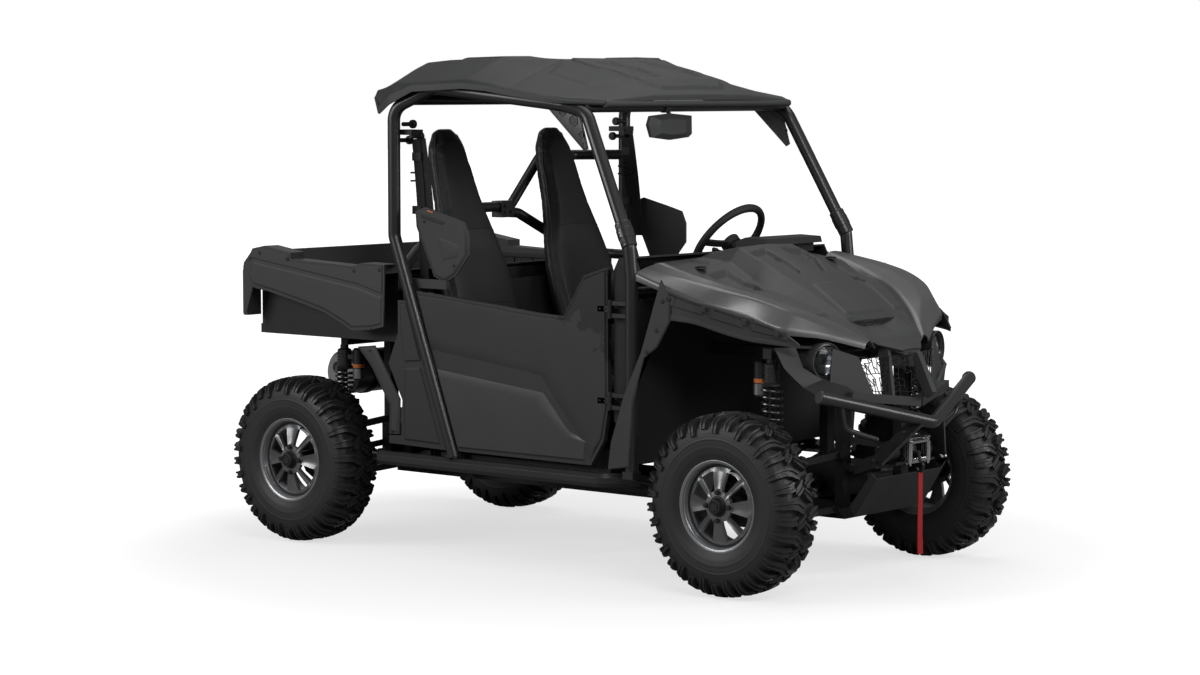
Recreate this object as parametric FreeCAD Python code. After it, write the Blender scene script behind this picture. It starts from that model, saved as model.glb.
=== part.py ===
import FreeCAD, Part
import math
import os

V = FreeCAD.Vector

# Side by side utility vehicle, millimetres. +X forward, +Y left, +Z up, ground at z = 0.
# Lengths are measured from the axles, heights from the ground, widths from the middle plane.
# On writing, every piece is set back by mid_x, so that x = 0 is half-way along the whole.

# Wheels
half_track = 677.0
tyre_radius = 355.6
tyre_half_width = 110.0
lug_height = 24.0
lug_width = 44.0
lug_count = 16
bead_radius = 176.0
rim_half_width = 96.0
rim_lip_radius = 187.0
rim_wall = 9.0
rim_windows = 8
fit_gap = 0.3

# Body widths and clearances
body_y = 748.0
pillar_y = 742.0
tub_y = 655.0
floor_y = 690.0
door_wall = 36.0
panel_wall = 6.0
panel_gap = 9.0

# Heights
rail_top = 330.0
floor_z = 445.0
rocker_z = 405.0
pad_z = 450.0
seat_z = 640.0
deck_z = 880.0
hood_z = 1250.0
shock_top = 905.0
roof_z = 2058.0

# Tubes
cage_radius = 26.0
rocker_radius = 30.0
bumper_radius = 25.0
rail_width = 50.0
rail_height = 50.0
rail_y = 200.0

# Steering
kingpin_y = 540.0
ball_radius = 20.0
ball_reach = 98.0
pivot_radius = 16.0
upper_spread = 180.0
lower_spread = 165.0
upper_pivot_z = 520.0
lower_pivot_z = 305.0
arm_height = 26.0
steer_arm = 110.0
rack_z = 385.0
rack_radius = 13.0
column_tilt = 38.0
wheel_ring_radius = 178.0

# Axle to door, cab, cab to axle, bed and bumper reach
door_front = 558.0
cab_length = 1136.0
pillar_back = 606.0
front_reach = 489.0
nose_back = 20.8
bed_length = 850.0
hinge_pin_radius = 10.0
gate_pin_radius = 6.0
run_gap = 0.06
hinge_heights = (720.0, 1080.0)
dash_bar_z = 1150.0

# Worked out from the above
wheelbase = door_front + cab_length + pillar_back
fx = wheelbase / 2
rx = -wheelbase / 2
cowl = fx - door_front
hinge_x = cowl + 14
pillar = rx + pillar_back
hub_z = tyre_radius
brace_z = roof_z - 418.0
pivot_seat = rail_y + rail_width / 2 + fit_gap + pivot_radius * math.cos(math.pi / 6)
mid_x = (fx + front_reach + rx - tyre_radius) / 2
bed_front = pillar - 46.0
bed_back = bed_front - bed_length
bed_hinge_x = bed_back + 90.0
bed_hinge_z = deck_z - hinge_pin_radius
gate_hinge_x = bed_back + 15
gate_hinge_z = deck_z + 28


def box(x0, x1, y0, y1, z0, z1):
    return Part.makeBox(x1 - x0, y1 - y0, z1 - z0, V(x0, y0, z0))


def face(points):
    return Part.Face(Part.makePolygon(list(points) + [points[0]]))


def side_plate(outline, y0, y1):
    # A plate with an outline in x and z, between two planes across y.
    return face([V(x, y0, z) for x, z in outline]).extrude(V(0, y1 - y0, 0))


def plan_plate(outline, z0, z1):
    return face([V(x, y, z0) for x, y in outline]).extrude(V(0, 0, z1 - z0))


def cross_plate(outline, x0, x1):
    return face([V(x0, y, z) for y, z in outline]).extrude(V(x1 - x0, 0, 0))


def ring_round(centre, axis, radius, sides):
    # Corners of a regular polygon square to an axis.
    helper = V(0, 0, 1) if abs(axis.z) < 0.9 * axis.Length else V(1, 0, 0)
    u = axis.cross(helper).normalize()
    w = axis.cross(u).normalize()
    turns = [2 * math.pi * (k + 0.5) / sides for k in range(sides)]
    return [centre + u * (radius * math.cos(t)) + w * (radius * math.sin(t)) for t in turns]


def rod(p, q, radius, sides=8):
    return face(ring_round(p, q - p, radius, sides)).extrude(q - p)


def drum(radius, length, base, axis=V(0, 0, 1), sides=8):
    return rod(base, base + axis * length, radius, sides)


def patch(a, b, c, d):
    # One flat face through four corners, or two triangles where they don't lie flat.
    square = (b - a).cross(c - a)
    if abs(square.dot(d - a)) < 1e-8 * square.Length:
        return [face([a, b, c, d])]
    return [face([a, b, c]), face([a, c, d])]


def solid_through(rings, closed=False, inner_from=None):
    # A flat-faced solid through rings of corners, with end caps unless it closes on itself.
    # From inner_from on, corners belong to an inner wall whose facets fold along the outer wall's diagonals.
    faces = []
    following = rings[1:] + rings[:1] if closed else rings[1:]
    for low, high in zip(rings, following):
        for i in range(len(low)):
            j = (i + 1) % len(low)
            if inner_from is not None and i >= inner_from:
                faces += patch(low[j], high[j], high[i], low[i])
            else:
                faces += patch(low[i], low[j], high[j], high[i])
    if not closed:
        faces += [face(rings[0]), face(rings[-1])]
    shell = Part.makeShell(faces)
    shell.sewShape()
    solid = Part.makeSolid(shell)
    if solid.Volume < 0:
        solid.reverse()
    return solid


def turned(profile, sides, spin=0.0):
    # A profile of (y, radius) turned about the Y axis in flat steps.
    rings = []
    for k in range(sides):
        t = 2 * math.pi * (k + spin) / sides
        rings.append([V(r * math.sin(t), y, r * math.cos(t)) for y, r in profile])
    return solid_through(rings, True)


def bar(p, q, width, height):
    # A straight bar of rectangular section between two points.
    run = q - p
    upright = V(0, 0, 1) if abs(run.z) < 0.9 * run.Length else V(1, 0, 0)
    across = run.cross(upright).normalize() * (width / 2)
    rise = across.cross(run).normalize() * (height / 2)
    corners = [p + across + rise, p - across + rise, p - across - rise, p + across - rise]
    return face(corners).extrude(run)


def bent_path(points, bend, steps):
    # The polyline with each corner rounded by a tangent arc, taken in equal steps.
    path = [points[0]]
    for before, corner, after in zip(points, points[1:], points[2:]):
        back = (before - corner).normalize()
        ahead = (after - corner).normalize()
        half = back.getAngle(ahead) / 2
        middle = corner + (back + ahead).normalize() * (bend / math.sin(half))
        spread = math.pi / 2 - half
        out = (corner - middle).normalize()
        along = (ahead - back).normalize()
        for k in range(steps + 1):
            t = spread * (2 * k / steps - 1)
            path.append(middle + out * (bend * math.cos(t)) + along * (bend * math.sin(t)))
    return path + [points[-1]]


def tube(points, radius, bend, sides=8, steps=2):
    # A tube through a bent path, its flats mitred at each turn.
    path = bent_path(points, bend, steps)
    ring = ring_round(path[0], path[1] - path[0], radius, sides)
    rings = [ring]
    for before, here, after in zip(path, path[1:], path[2:]):
        run = (here - before).normalize()
        cut = (run + (after - here).normalize()).normalize()
        ring = [q + run * ((here - q).dot(cut) / run.dot(cut)) for q in ring]
        rings.append(ring)
    run = (path[-1] - path[-2]).normalize()
    rings.append([q + run * (path[-1] - q).dot(run) for q in ring])
    return solid_through(rings)


def fuse(shapes):
    whole = shapes[0].multiFuse(shapes[1:])
    return whole.removeSplitter()


def mirrored(shape):
    return shape.mirror(V(0, 0, 0), V(0, 1, 0))


def pair(shape):
    return Part.makeCompound([shape, mirrored(shape)])


def inset(points, wall):
    # The polyline moved inward by the wall, each corner along its bisector.
    moved = []
    for i, (y, z) in enumerate(points):
        y0, z0 = points[max(i - 1, 0)]
        y1, z1 = points[min(i + 1, len(points) - 1)]
        long = math.hypot(y1 - y0, z1 - z0)
        moved.append((y + wall * (z1 - z0) / long, z - wall * (y1 - y0) / long))
    return moved


def skin(stations, wall):
    # A shell through stations (x, [(y, z), ...]), the outline drawn with y growing.
    rings = []
    for x, outline in stations:
        loop = list(outline) + inset(outline, wall)[::-1]
        rings.append([V(x, y, z) for y, z in loop])
    return solid_through(rings, inner_from=len(stations[0][1]))


def whole_width(half):
    # A half outline, drawn from the middle out, turned into the full width from right to left.
    right = [(-y, z) for y, z in half[::-1]]
    left = [(y, z) for y, z in half if y > 0]
    return right + left


# Wheels

def tyre():
    # Carcass turned about the axle, with two rows of shoulder lugs, long and short in turn.
    base = tyre_radius - lug_height
    half = [
        (rim_half_width - 12, bead_radius + fit_gap),
        (tyre_half_width - 1, bead_radius + 44),
        (tyre_half_width - 3, base - 36),
        (tyre_half_width - 16, base - 6),
    ]
    ring = half + [(-y, r) for y, r in half[::-1]]
    parts = [turned(ring, lug_count, 0.5)]
    for k in range(lug_count):
        reach = 12.0 if k % 2 == 0 else 44.0
        for side in (1, -1):
            lug = side_plate_yz(lug_outline(reach, base), lug_width, side)
            turn = 360.0 / lug_count * (k + (0.25 if side > 0 else -0.25))
            lug.rotate(V(0, 0, 0), V(0, 1, 0), turn)
            parts.append(lug)
    return parts[0].multiFuse(parts[1:])


def lug_outline(reach, base):
    w = tyre_half_width
    crown = math.sqrt(tyre_radius ** 2 - (lug_width / 2) ** 2)
    return [(reach, base - 8), (reach, crown), (w - 14, crown - 5),
            (w + 2, base - 38), (w - 12, base - 38)]


def side_plate_yz(outline, width, side):
    ring = [V(-width / 2, side * y, r) for y, r in outline]
    return face(ring).extrude(V(width, 0, 0))


def rim():
    # Barrel with turned lips and a dished disc with windows, outer face towards +Y.
    w = rim_half_width
    wall = rim_wall
    section = [
        (-w, rim_lip_radius), (-w, bead_radius - wall - 8), (w - 34, bead_radius - wall - 8), (w - 40, 40),
        (w - 6, 40), (w - 22, bead_radius - 20), (w, rim_lip_radius - wall), (w, rim_lip_radius),
        (w - 11, bead_radius), (-w + 11, bead_radius),
    ]
    body = turned(section, lug_count, 0.5)
    inner = 70.0
    outer = bead_radius - 24
    slot = plan_ring_slot(inner, outer)
    cuts = []
    for k in range(rim_windows):
        cut = slot.copy()
        cut.rotate(V(0, 0, 0), V(0, 1, 0), 360.0 / rim_windows * (k + 0.5))
        cuts.append(cut)
    hub = drum(42.0, 26.0, V(0, w - 32, 0), V(0, 1, 0), 12)
    cap = drum(26.0, 24.0, V(0, w - 8, 0), V(0, 1, 0))
    return body.cut(cuts[0].multiFuse(cuts[1:])).multiFuse([hub, cap]).removeSplitter()


def plan_ring_slot(inner, outer):
    # A window that widens outward, drawn in x and z and pushed through the disc.
    ring = [V(-11, 0, inner), V(11, 0, inner), V(27, 0, outer), V(-27, 0, outer)]
    return face(ring).extrude(V(0, 2 * rim_half_width, 0))


def placed_wheel(shape, x, side):
    turned = shape.copy()
    if side < 0:
        turned = mirrored(turned)
    turned.translate(V(x, side * half_track, hub_z))
    return turned


def wheels():
    tyre_shape = tyre()
    rim_shape = rim()
    made = {}
    for end, x in (("front", fx), ("rear", rx)):
        for name, side in (("right", -1), ("left", 1)):
            made["tyre_%s_%s" % (end, name)] = placed_wheel(tyre_shape, x, side)
            made["rim_%s_%s" % (end, name)] = placed_wheel(rim_shape, x, side)
    return made


# Frame and cage

def chassis_frame():
    w = rail_width / 2
    h = rail_height
    low = rail_top - h
    half = [box(rx - 205, fx + 230, rail_y - w, rail_y + w, low, rail_top)]
    for x in (fx - upper_spread, fx + upper_spread, rx + upper_spread, rx + 60):
        top = 900.0 if x > 0 else deck_z
        half.append(box(x - 20, x + 20, rail_y - w, rail_y + w, rail_top - 5, top))
    back = rx - upper_spread
    half.append(box(back - 20, back + 20, rail_y - w, rail_y + w, rail_top - 5, 560))
    half.append(box(bed_hinge_x, pillar + 10, rail_y - w, rail_y + w, deck_z - 40, deck_z))
    half.append(box(cowl + 107.5, fx + 200, rail_y - w, rail_y + w, 880, 920))
    half.append(box(pillar - 20, pillar + 20, rail_y - w, rail_y + w, rail_top - 5, deck_z - 5))
    both = half + [mirrored(s) for s in half]
    for x, z in ((rx - 150, low + 25), (rx + 190, low + 25), (pillar, low + 25), (cowl - 120, low + 25),
                 (fx - 180, low + 25), (fx + 200, low + 25), (fx - 180, 900), (fx + 180, 900)):
        both.append(box(x - 20, x + 20, -rail_y, rail_y, z - 18, z + 18))
    both.append(box(fx + 32, fx + 72, -525, 525, shock_top, shock_top + 40))
    both.append(box(rx + 52, rx + 92, -505, 505, deck_z - 45, deck_z - 5))
    both.append(box(pillar - 20, pillar + 20, -pillar_y + 40, pillar_y - 40, deck_z - 40, deck_z - 4))
    both.append(Part.makeCylinder(hinge_pin_radius, 2 * 262.0, V(bed_hinge_x, -262, bed_hinge_z), V(0, 1, 0)))
    rack_x = fx - steer_arm
    housing = box(fx - 200, rack_x + 18, -118, 118, rack_z - 24, rack_z + 24)
    bore = Part.makeCylinder(rack_radius + fit_gap, 400, V(rack_x, -200, rack_z), V(0, 1, 0))
    both.append(housing.cut(bore))
    both.append(box(fx - 200, fx - 160, -rail_y, rail_y, rack_z - 20, rack_z + 20))
    both.append(tow_tongue())
    return fuse(both)


def side_sills():
    # Rocker tube of each side on outriggers from the rail, with the pads that carry cage and floor.
    seat = rail_y + rail_width / 2 + fit_gap
    rocker = [V(pillar - 90, pillar_y, rocker_z), V(cowl - 30, pillar_y, rocker_z),
              V(cowl + 70, pillar_y - 110, rocker_z)]
    parts = [tube(rocker, rocker_radius, 60)]
    spots = [(x, pillar_y - 8, rocker_z) for x in (pillar - 40, pillar + 420, cowl - 120)]
    for x, end, z in spots + [(cowl + 100, pillar_y - 20, 428)]:
        arm = [(seat, rail_top - 35), (end, z - 15), (end, z + 15), (seat, rail_top - 5)]
        parts.append(cross_plate(arm, x - 19, x + 19))
    parts.append(box(cowl + 82, cowl + 134, pillar_y - 39, pillar_y + 13, 420, pad_z))
    top = floor_z - panel_wall - fit_gap
    parts.append(box(pillar + 162, cowl - 70, floor_y - 80, floor_y - 50, rocker_z - 15, top))
    return pair(fuse(parts))


def tow_tongue():
    # A drawbar tongue behind the rear cross member, with an upright hole for a hitch ball.
    plate = box(rx - 300, rx - 150, -38, 38, 288, 300)
    return plate.cut(Part.makeCylinder(9.5, 40, V(rx - 270, 0, 280)))


def pillar_line(z):
    # The lower rear pillar leans forward as it goes down: its x at a height.
    top = 1330.0
    lean = math.tan(math.radians(19.5))
    return pillar + max(top - z, 0) * lean


def roll_cage():
    r = cage_radius
    foot_z = rocker_z + rocker_radius * math.cos(math.pi / 8) + fit_gap
    y = pillar_y
    side = [
        V(pillar_line(foot_z), y, foot_z + 9), V(pillar, y + 8, 1330), V(pillar, y + 8, roof_z - 203),
        V(pillar + 190, y - 28, roof_z - 118), V(cowl - 270, y - 50, roof_z - 186), V(cowl - 174, y - 78, roof_z - 216),
        V(cowl + 94, y - 13, 1331), V(cowl + 108, y - 13, 1200), V(cowl + 108, y - 13, pad_z + fit_gap),
    ]
    half = [tube(side, r, 60, 8, 1)]
    half.append(rod(V(cowl + 52, y - 24, 1412), V(cowl + 92, y - 14, 1336), r + 6))
    half.append(gusset(cowl, y))
    x = pillar_line(foot_z)
    half.append(box(x - 34, x + 30, y - 24, y + 18, foot_z, foot_z + 12))
    parts = half + [mirrored(s) for s in half]
    parts.append(rod(V(cowl - 190, -(y - 80), roof_z - 196), V(cowl - 190, y - 80, roof_z - 196), 20))
    parts.append(rod(V(pillar + 30, -(y - 4), roof_z - 168), V(pillar + 30, y - 4, roof_z - 168), r - 4))
    high = [V(pillar_line(brace_z), y + 6, brace_z), V(pillar - 142, 560, brace_z), V(pillar - 142, 335, brace_z),
            V(pillar - 125, 115, 1425), V(pillar - 112, -110, 1425), V(pillar - 50, -560, 1262),
            V(pillar_line(1200), -y, 1200)]
    low = [V(pillar - 118, 60, 1400), V(pillar - 112, 150, 1395), V(pillar - 40, 480, 1215),
           V(pillar_line(1190), y, 1190)]
    parts.append(tube(high, r - 4, 50, 8, 1))
    parts.append(tube(low, r - 4, 50, 8, 1))
    parts.append(box(pillar - 146, pillar - 94, 20, 100, 1378, 1450))
    parts.append(rod(V(cowl + 98, -(y - 13), dash_bar_z), V(cowl + 98, y - 13, dash_bar_z), 18))
    for z in hinge_heights:
        parts += hinge_arms(z, 1) + hinge_arms(z, -1)
    return fuse(parts)


def hinge_arms(z, side):
    # The frame's half of a door hinge: a knuckle on an arm above and below the door's own.
    made = []
    for low in (z - 36 - fit_gap, z + 12 + fit_gap):
        made.append(drum(8, 24, V(hinge_x, side * body_y, low), V(0, 0, 1), 6))
        ends = sorted((side * (body_y - 20), side * body_y))
        made.append(box(hinge_x, cowl + 108 - cage_radius + 4, ends[0], ends[1], low + 4, low + 20))
    return made


def gusset(x, y):
    # Triangular pressed plate between the roof rail and the front pillar, with three six-sided holes.
    top = roof_z - 170
    plate = [(x - 400, top), (x - 205, top - 38), (x - 160, top - 188), (x - 178, top - 198)]
    shape = side_plate(plate, y - 74, y - 66)
    for hx, drop, r in ((x - 290, 45, 20), (x - 232, 78, 26), (x - 192, 130, 16)):
        shape = shape.cut(drum(r, 40, V(hx, y - 90, top - drop), V(0, 1, 0), 6))
    return shape


# Roof and cab

def roof():
    # Moulded shell: a raised middle, facets down to a rim that droops at the rear corners.
    top = roof_z
    stations = [
        (pillar - 116, [(0, top - 62), (330, top - 66), (560, top - 98), (724, top - 128), (742, top - 158)]),
        (pillar - 66, [(0, top - 22), (320, top - 20), (556, top - 44), (740, top - 126), (770, top - 222)]),
        (pillar + 6, [(0, top - 6), (310, top - 2), (550, top - 14), (752, top - 100), (786, top - 176)]),
        (pillar + 134, [(0, top - 4), (300, top + 4), (548, top - 4), (756, top - 96), (784, top - 128)]),
        (pillar + 394, [(0, top), (290, top + 5), (542, top + 2), (742, top - 84), (764, top - 118)]),
        (pillar + 516, [(0, top - 4), (300, top - 2), (510, top - 34), (736, top - 100), (760, top - 128)]),
        (cowl - 550, [(0, top - 14), (300, top - 16), (508, top - 62), (732, top - 116), (756, top - 140)]),
        (cowl - 324, [(0, top - 62), (290, top - 66), (520, top - 120), (728, top - 150), (748, top - 172)]),
        (cowl - 232, [(0, top - 88), (290, top - 94), (520, top - 132), (716, top - 156), (728, top - 180)]),
        (cowl - 122, [(0, top - 146), (300, top - 148), (520, top - 160), (606, top - 168), (612, top - 186)]),
    ]
    shell = skin([(x, whole_width(line)) for x, line in stations], panel_wall)
    lip = bar(V(cowl - 124, -604, top - 178), V(cowl - 124, 604, top - 178), 26, 22)
    return fuse([shell, lip])


def floor_pan():
    # Cab floor, toe board and the box under the seats, as one folded sheet with a middle tunnel.
    w = panel_wall
    front = cowl + 87
    back = pillar + 160
    riser = pillar + 640
    top = seat_z - 22
    line = [(back, top), (riser, top), (riser, floor_z), (cowl - 60, floor_z), (front, floor_z + 300),
            (front + w, floor_z + 300), (cowl - 57, floor_z - w), (riser - w, floor_z - w),
            (riser - w, top - w), (back, top - w)]
    sheet = side_plate(line, -floor_y, floor_y)
    tunnel = side_plate([(riser - 3, floor_z - 3), (cowl - 10, floor_z - 3), (cowl + 70, floor_z + 150),
                         (riser - 3, floor_z + 130)], -110, 110)
    skirt = box(back, riser, floor_y - 200, floor_y - 192, floor_z - w, seat_z - 24)
    sill = box(back + 40, cowl - 30, floor_y - 8, floor_y, rocker_z + 15, floor_z)
    return fuse([sheet, tunnel, skirt, mirrored(skirt), sill, mirrored(sill)])


def inner_liners():
    # Black panels: firewall behind the cab, wheel-house walls, cowl sides beside the doors.
    y = floor_y
    w = panel_wall
    back = pillar + 160
    line = [(back - fit_gap, floor_z - 40), (back - fit_gap, 640), (pillar + 100, 720), (pillar - 2, 1000),
            (pillar - 6, 1120)]
    wall = line + [(x - w, z) for x, z in line[::-1]]
    parts = [side_plate(wall, -y, y)]
    house = [(cowl + 92, 470), (cowl + 104, 880), (cowl + 120, 1120), (cowl + 114, 1120),
             (cowl + 98, 880), (cowl + 86, 470)]
    pillar_side = pillar_y - 13 - cage_radius
    parts.append(side_plate(house, -pillar_side + 8, pillar_side - 8))
    side = side_plate([(cowl + 8, 640), (cowl + 85.7, 560), (cowl + 85.7, 1120), (cowl + 79, 1126), (cowl + 77, 1250), (cowl + 8, 1236)],
                      pillar_y - 30, pillar_y - 24)
    web = bar(V(cowl + 74, pillar_side - 9, 900), V(cowl + 74, pillar_y - 27, 900), 8, 500)
    side = side.fuse(web)
    return Part.makeCompound(parts + [side, mirrored(side)])


def dashboard():
    # Moulded dash with an instrument hood before the driver, open behind and below.
    y = floor_y - 50
    top = 1286.0
    outer = [(cowl - 110, 1010), (cowl - 80, 1180), (cowl - 30, top - 12), (cowl + 47.7, top - 4),
             (cowl + 47.7, top - 12), (cowl - 22, top - 24),
             (cowl - 66, 1176), (cowl - 96, 1010)]
    shell = side_plate(outer, -y, y)
    pod = side_plate([(cowl - 62, top - 60), (cowl - 68, top + 20), (cowl - 20, top + 38),
                      (cowl + 84, top + 34), (cowl + 92, top + 8), (cowl + 47.7, top + 6),
                      (cowl + 47.7, top - 30)], 170, 560)
    ends = side_plate([(cowl - 108, 1012), (cowl - 78, 1180), (cowl - 28, top - 14), (cowl + 47.7, top - 8),
                       (cowl + 86, top - 80), (cowl + 60, 1012)], y - 8, y)
    return fuse([shell, pod, ends, mirrored(ends), steering_column()])


def column_axis():
    tilt = math.radians(column_tilt)
    return V(-math.cos(tilt), 0, math.sin(tilt))


def ring_centre():
    return V(cowl - 250, 360, 1296)


def steering_column():
    axis = column_axis()
    start = ring_centre() - axis * (34 + fit_gap)
    near = ring_round(start, axis, 34, 8)
    far = ring_round(start - axis * 102, axis, 46, 8)
    return solid_through([near, far]).fuse(rod(start - axis * 90, start - axis * 200, 26))


def torus(centre, axis, radius, thick, steps, sides):
    rings = []
    spots = ring_round(centre, axis, radius, steps)
    for spot in spots:
        out = (spot - centre).normalize()
        turns = [2 * math.pi * k / sides for k in range(sides)]
        rings.append([spot + out * (thick * math.cos(t)) + axis * (thick * math.sin(t)) for t in turns])
    return solid_through(rings, True)


def steering_wheel():
    # Thick ring on three flat spokes and a hub boss.
    axis = column_axis()
    centre = ring_centre()
    ring = torus(centre, axis, wheel_ring_radius, 15, 18, 6)
    up = V(math.sin(math.radians(column_tilt)), 0, math.cos(math.radians(column_tilt)))
    low = centre - axis * 20
    spokes = [bar(low, centre + V(0, side * (wheel_ring_radius - 6), 0), 14, 22) for side in (-1, 1)]
    spokes.append(bar(low, centre - up * (wheel_ring_radius - 6), 34, 14))
    hub = rod(centre - axis * 34, centre - axis * 2, 40)
    return fuse([ring, hub] + spokes)


def seat(side):
    # Cushion and a tall back that narrows into its headrest: a plain soft solid.
    y = side * 345.0
    base = side_plate([(pillar + 180, seat_z - 21.7), (pillar + 735, seat_z - 21.7), (pillar + 750, seat_z + 90),
                       (pillar + 710, seat_z + 125), (pillar + 190, seat_z + 100)], y - 235, y + 235)
    foot = V(pillar + 268, y, seat_z + 90)
    rings = []
    tall = roof_z - 308 - foot.z
    for share, half, deep in ((0, 235, 150), (0.32, 230, 126), (0.52, 205, 110), (0.69, 150, 95), (0.87, 98, 84),
                              (1, 56, 60)):
        rise = tall * share
        x = foot.x - rise * 0.33
        z = foot.z + rise
        ring = [V(x, y - half, z), V(x, y + half, z), V(x - deep, y + half * 0.73, z + deep * 0.1),
                V(x - deep, y - half * 0.73, z + deep * 0.1)]
        rings.append(ring)
    back = solid_through(rings)
    return fuse([base, back])


def shoulder_guards():
    # Moulded side bolsters beside the seat backs, one each side.
    y = pillar_y - 20
    outline = [(pillar + 93, 1371), (pillar + 88, 1433), (pillar + 143, 1452), (pillar + 287, 1416),
               (pillar + 359, 1396), (pillar + 382, 1344), (pillar + 382, 1260), (pillar + 310, 1174),
               (pillar + 250, 1145), (pillar + 190, 1169)]
    plate = side_plate(outline, y - 14, y)
    slot = side_plate([(pillar + 120, 1425), (pillar + 128, 1410), (pillar + 250, 1384), (pillar + 262, 1394)],
                      y - 5, y + 1)
    foot = box(pillar + 48, pillar + 262, y - 14, y + 1.6, 1118, 1156)
    return pair(fuse([plate.cut(slot), foot]))


def seat_belts():
    # Webbing from an upper guide down to a reel box on each rear pillar.
    y = pillar_y - 60
    top = roof_z - 268
    webbing = bar(V(pillar + 60, y, top - 60), V(pillar + 108, y, 1060), 46, 4)
    guide = box(pillar - 12, pillar + 74, y - 28, pillar_y - 17, top - 66, top)
    reel = box(pillar + 80, pillar + 128, y - 27, pillar_y - 19.5, 1000, 1066)
    return pair(fuse([webbing, guide, reel]))


def quarter_panels():
    # Pressed panel behind each door and the separate strip that slants behind it.
    y = body_y
    gap = cage_radius + panel_gap
    front = [(pillar_line(z) - gap * 1.06, z) for z in (1065, 460)]
    panel = [(pillar + 9, 1065), front[0], front[1], (pillar - 45, 467), (pillar - 45, 500), (pillar + 25, 503),
             (pillar + 31, 651), (pillar - 46, 800), (pillar + 8, 930)]
    plate = side_plate(panel, y - 18, y - 6)
    dent = side_plate([(pillar - 10, 770), (pillar + 76, 800), (pillar + 90, 700), (pillar + 40, 690)],
                      y - 11, y)
    strip = [(pillar - 222, 860), (pillar - 122, 870), (pillar + 20, 655), (pillar + 16, 508), (pillar - 43, 506),
             (pillar - 39, 626), (pillar - 144, 782)]
    bar_panel = side_plate(strip, y - 10, y)
    hold = box(pillar + 150, pillar_line(560) - cage_radius * 0.9, y - 30, y - 8, 520, 560)
    tab = box(pillar - 30, pillar + 60, y - 16, y - 8, 570, 620)
    return pair(fuse([plate.cut(dent), bar_panel, hold, tab]))


# Front end

def flare_line():
    # Plan taper of the front body: x from the axle, half width, then the band's top and bottom heights.
    return [(-262, 757, 1176, 1052), (-133, 735, 1130, 1041), (-50, 688, 1104, 1007), (40, 625, 1067, 975),
            (140, 570, 1028, 962), (202, 524, 968, 954)]


def front_fenders():
    # Lofted top skins from the hood's edges out to the flares, drawn in towards the nose.
    inner = [[(530, 1204), (600, 1222), (694, 1216)], [(490, 1166), (580, 1190), (676, 1190)],
             [(452, 1146), (550, 1164), (646, 1168)], [(392, 1112), (500, 1132), (590, 1141)],
             [(315, 1064), (400, 1084), (490, 1090)]]
    stations = [(fx - 424, [(548, 1256), (600, 1258), (664, 1247), (738, 1228), (738, 1196)])]
    for (x, y, top, bottom), line in zip(flare_line(), inner):
        edge = y - 8 - fit_gap
        stations.append((fx + x, line + [(edge, top - 4), (edge, top - 24)]))
    stations.append((fx + 215, [(250, 1022), (290, 1032), (340, 1022), (382, 1000), (386, 982)]))
    stations.append((fx + 296, [(176, 962), (186, 968), (200, 964), (218, 950), (222, 936)]))
    return pair(skin(stations, panel_wall))


def fender_flares():
    # Matt band that frames the front wheel arch, with its rear leg down to the sill.
    y = 762.0
    band = [[V(fx + x, w, top), V(fx + x, w - 8, top), V(fx + x, w - 8, bottom), V(fx + x, w, bottom)]
            for x, w, top, bottom in flare_line()]
    leg = side_plate([(fx - 282, 1206), (fx - 240, 1146), (fx - 238, 1047), (fx - 300, 946), (fx - 362, 900),
                      (fx - 420, 720), (fx - 440, 470), (fx - 545, 452), (fx - 530, 560), (fx - 460, 760),
                      (fx - 378, 925)], y - 7, y)
    arch = [(-300, 758, 946), (-240, 757, 1047)] + [(x, w, bottom) for x, w, top, bottom in flare_line()[1:]]
    shelf = []
    for (x, w, low), deep in zip(arch, (90, 90, 90, 90, 80, 50, 20)):
        shelf.append([V(fx + x, w - 2, low), V(fx + x, w - 2, low + 6), V(fx + x, w - deep, low + 6), V(fx + x, w - deep, low)])
    return pair(fuse([solid_through(band), leg, solid_through(shelf)]))


def hood_stations():
    # Half outlines from the middle out: a raised scoop, its fall to the shoulders, and the nose.
    top = hood_z
    return [
        (fx - 510, [(0, top + 30), (150, top + 28), (215, top + 12), (360, top + 6), (520, top + 2)]),
        (fx - 345, [(0, top + 62), (180, top + 56), (240, top), (400, top - 14), (528, top - 24)]),
        (fx - 220, [(0, top + 14), (190, top + 4), (262, top - 64), (400, top - 78), (500, top - 82)]),
        (fx - 109, [(0, top - 42), (190, top - 50), (308, top - 94), (390, top - 100), (455, top - 102)]),
        (fx - 30, [(0, top - 84), (176, top - 90), (280, top - 120), (350, top - 126), (414, top - 130)]),
        (fx + 90, [(0, top - 154), (160, top - 158), (220, top - 174), (280, top - 180), (338, top - 186)]),
        (fx + 178, [(0, top - 210), (150, top - 212), (175, top - 216), (215, top - 220), (256, top - 226)]),
        (fx + 270, [(0, top - 265), (70, top - 266), (120, top - 267), (160, top - 268), (192, top - 274)]),
        (fx + 305, [(0, top - 287), (50, top - 288), (90, top - 290), (120, top - 293), (150, top - 300)]),
        (fx + 365, [(0, top - 322), (18, top - 322), (36, top - 323), (50, top - 324), (64, top - 326)]),
    ]


def hood():
    # Raised middle scoop that falls to a pointed nose, with lower shoulders each side.
    return skin([(x, whole_width(line)) for x, line in hood_stations()], panel_wall)


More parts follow.
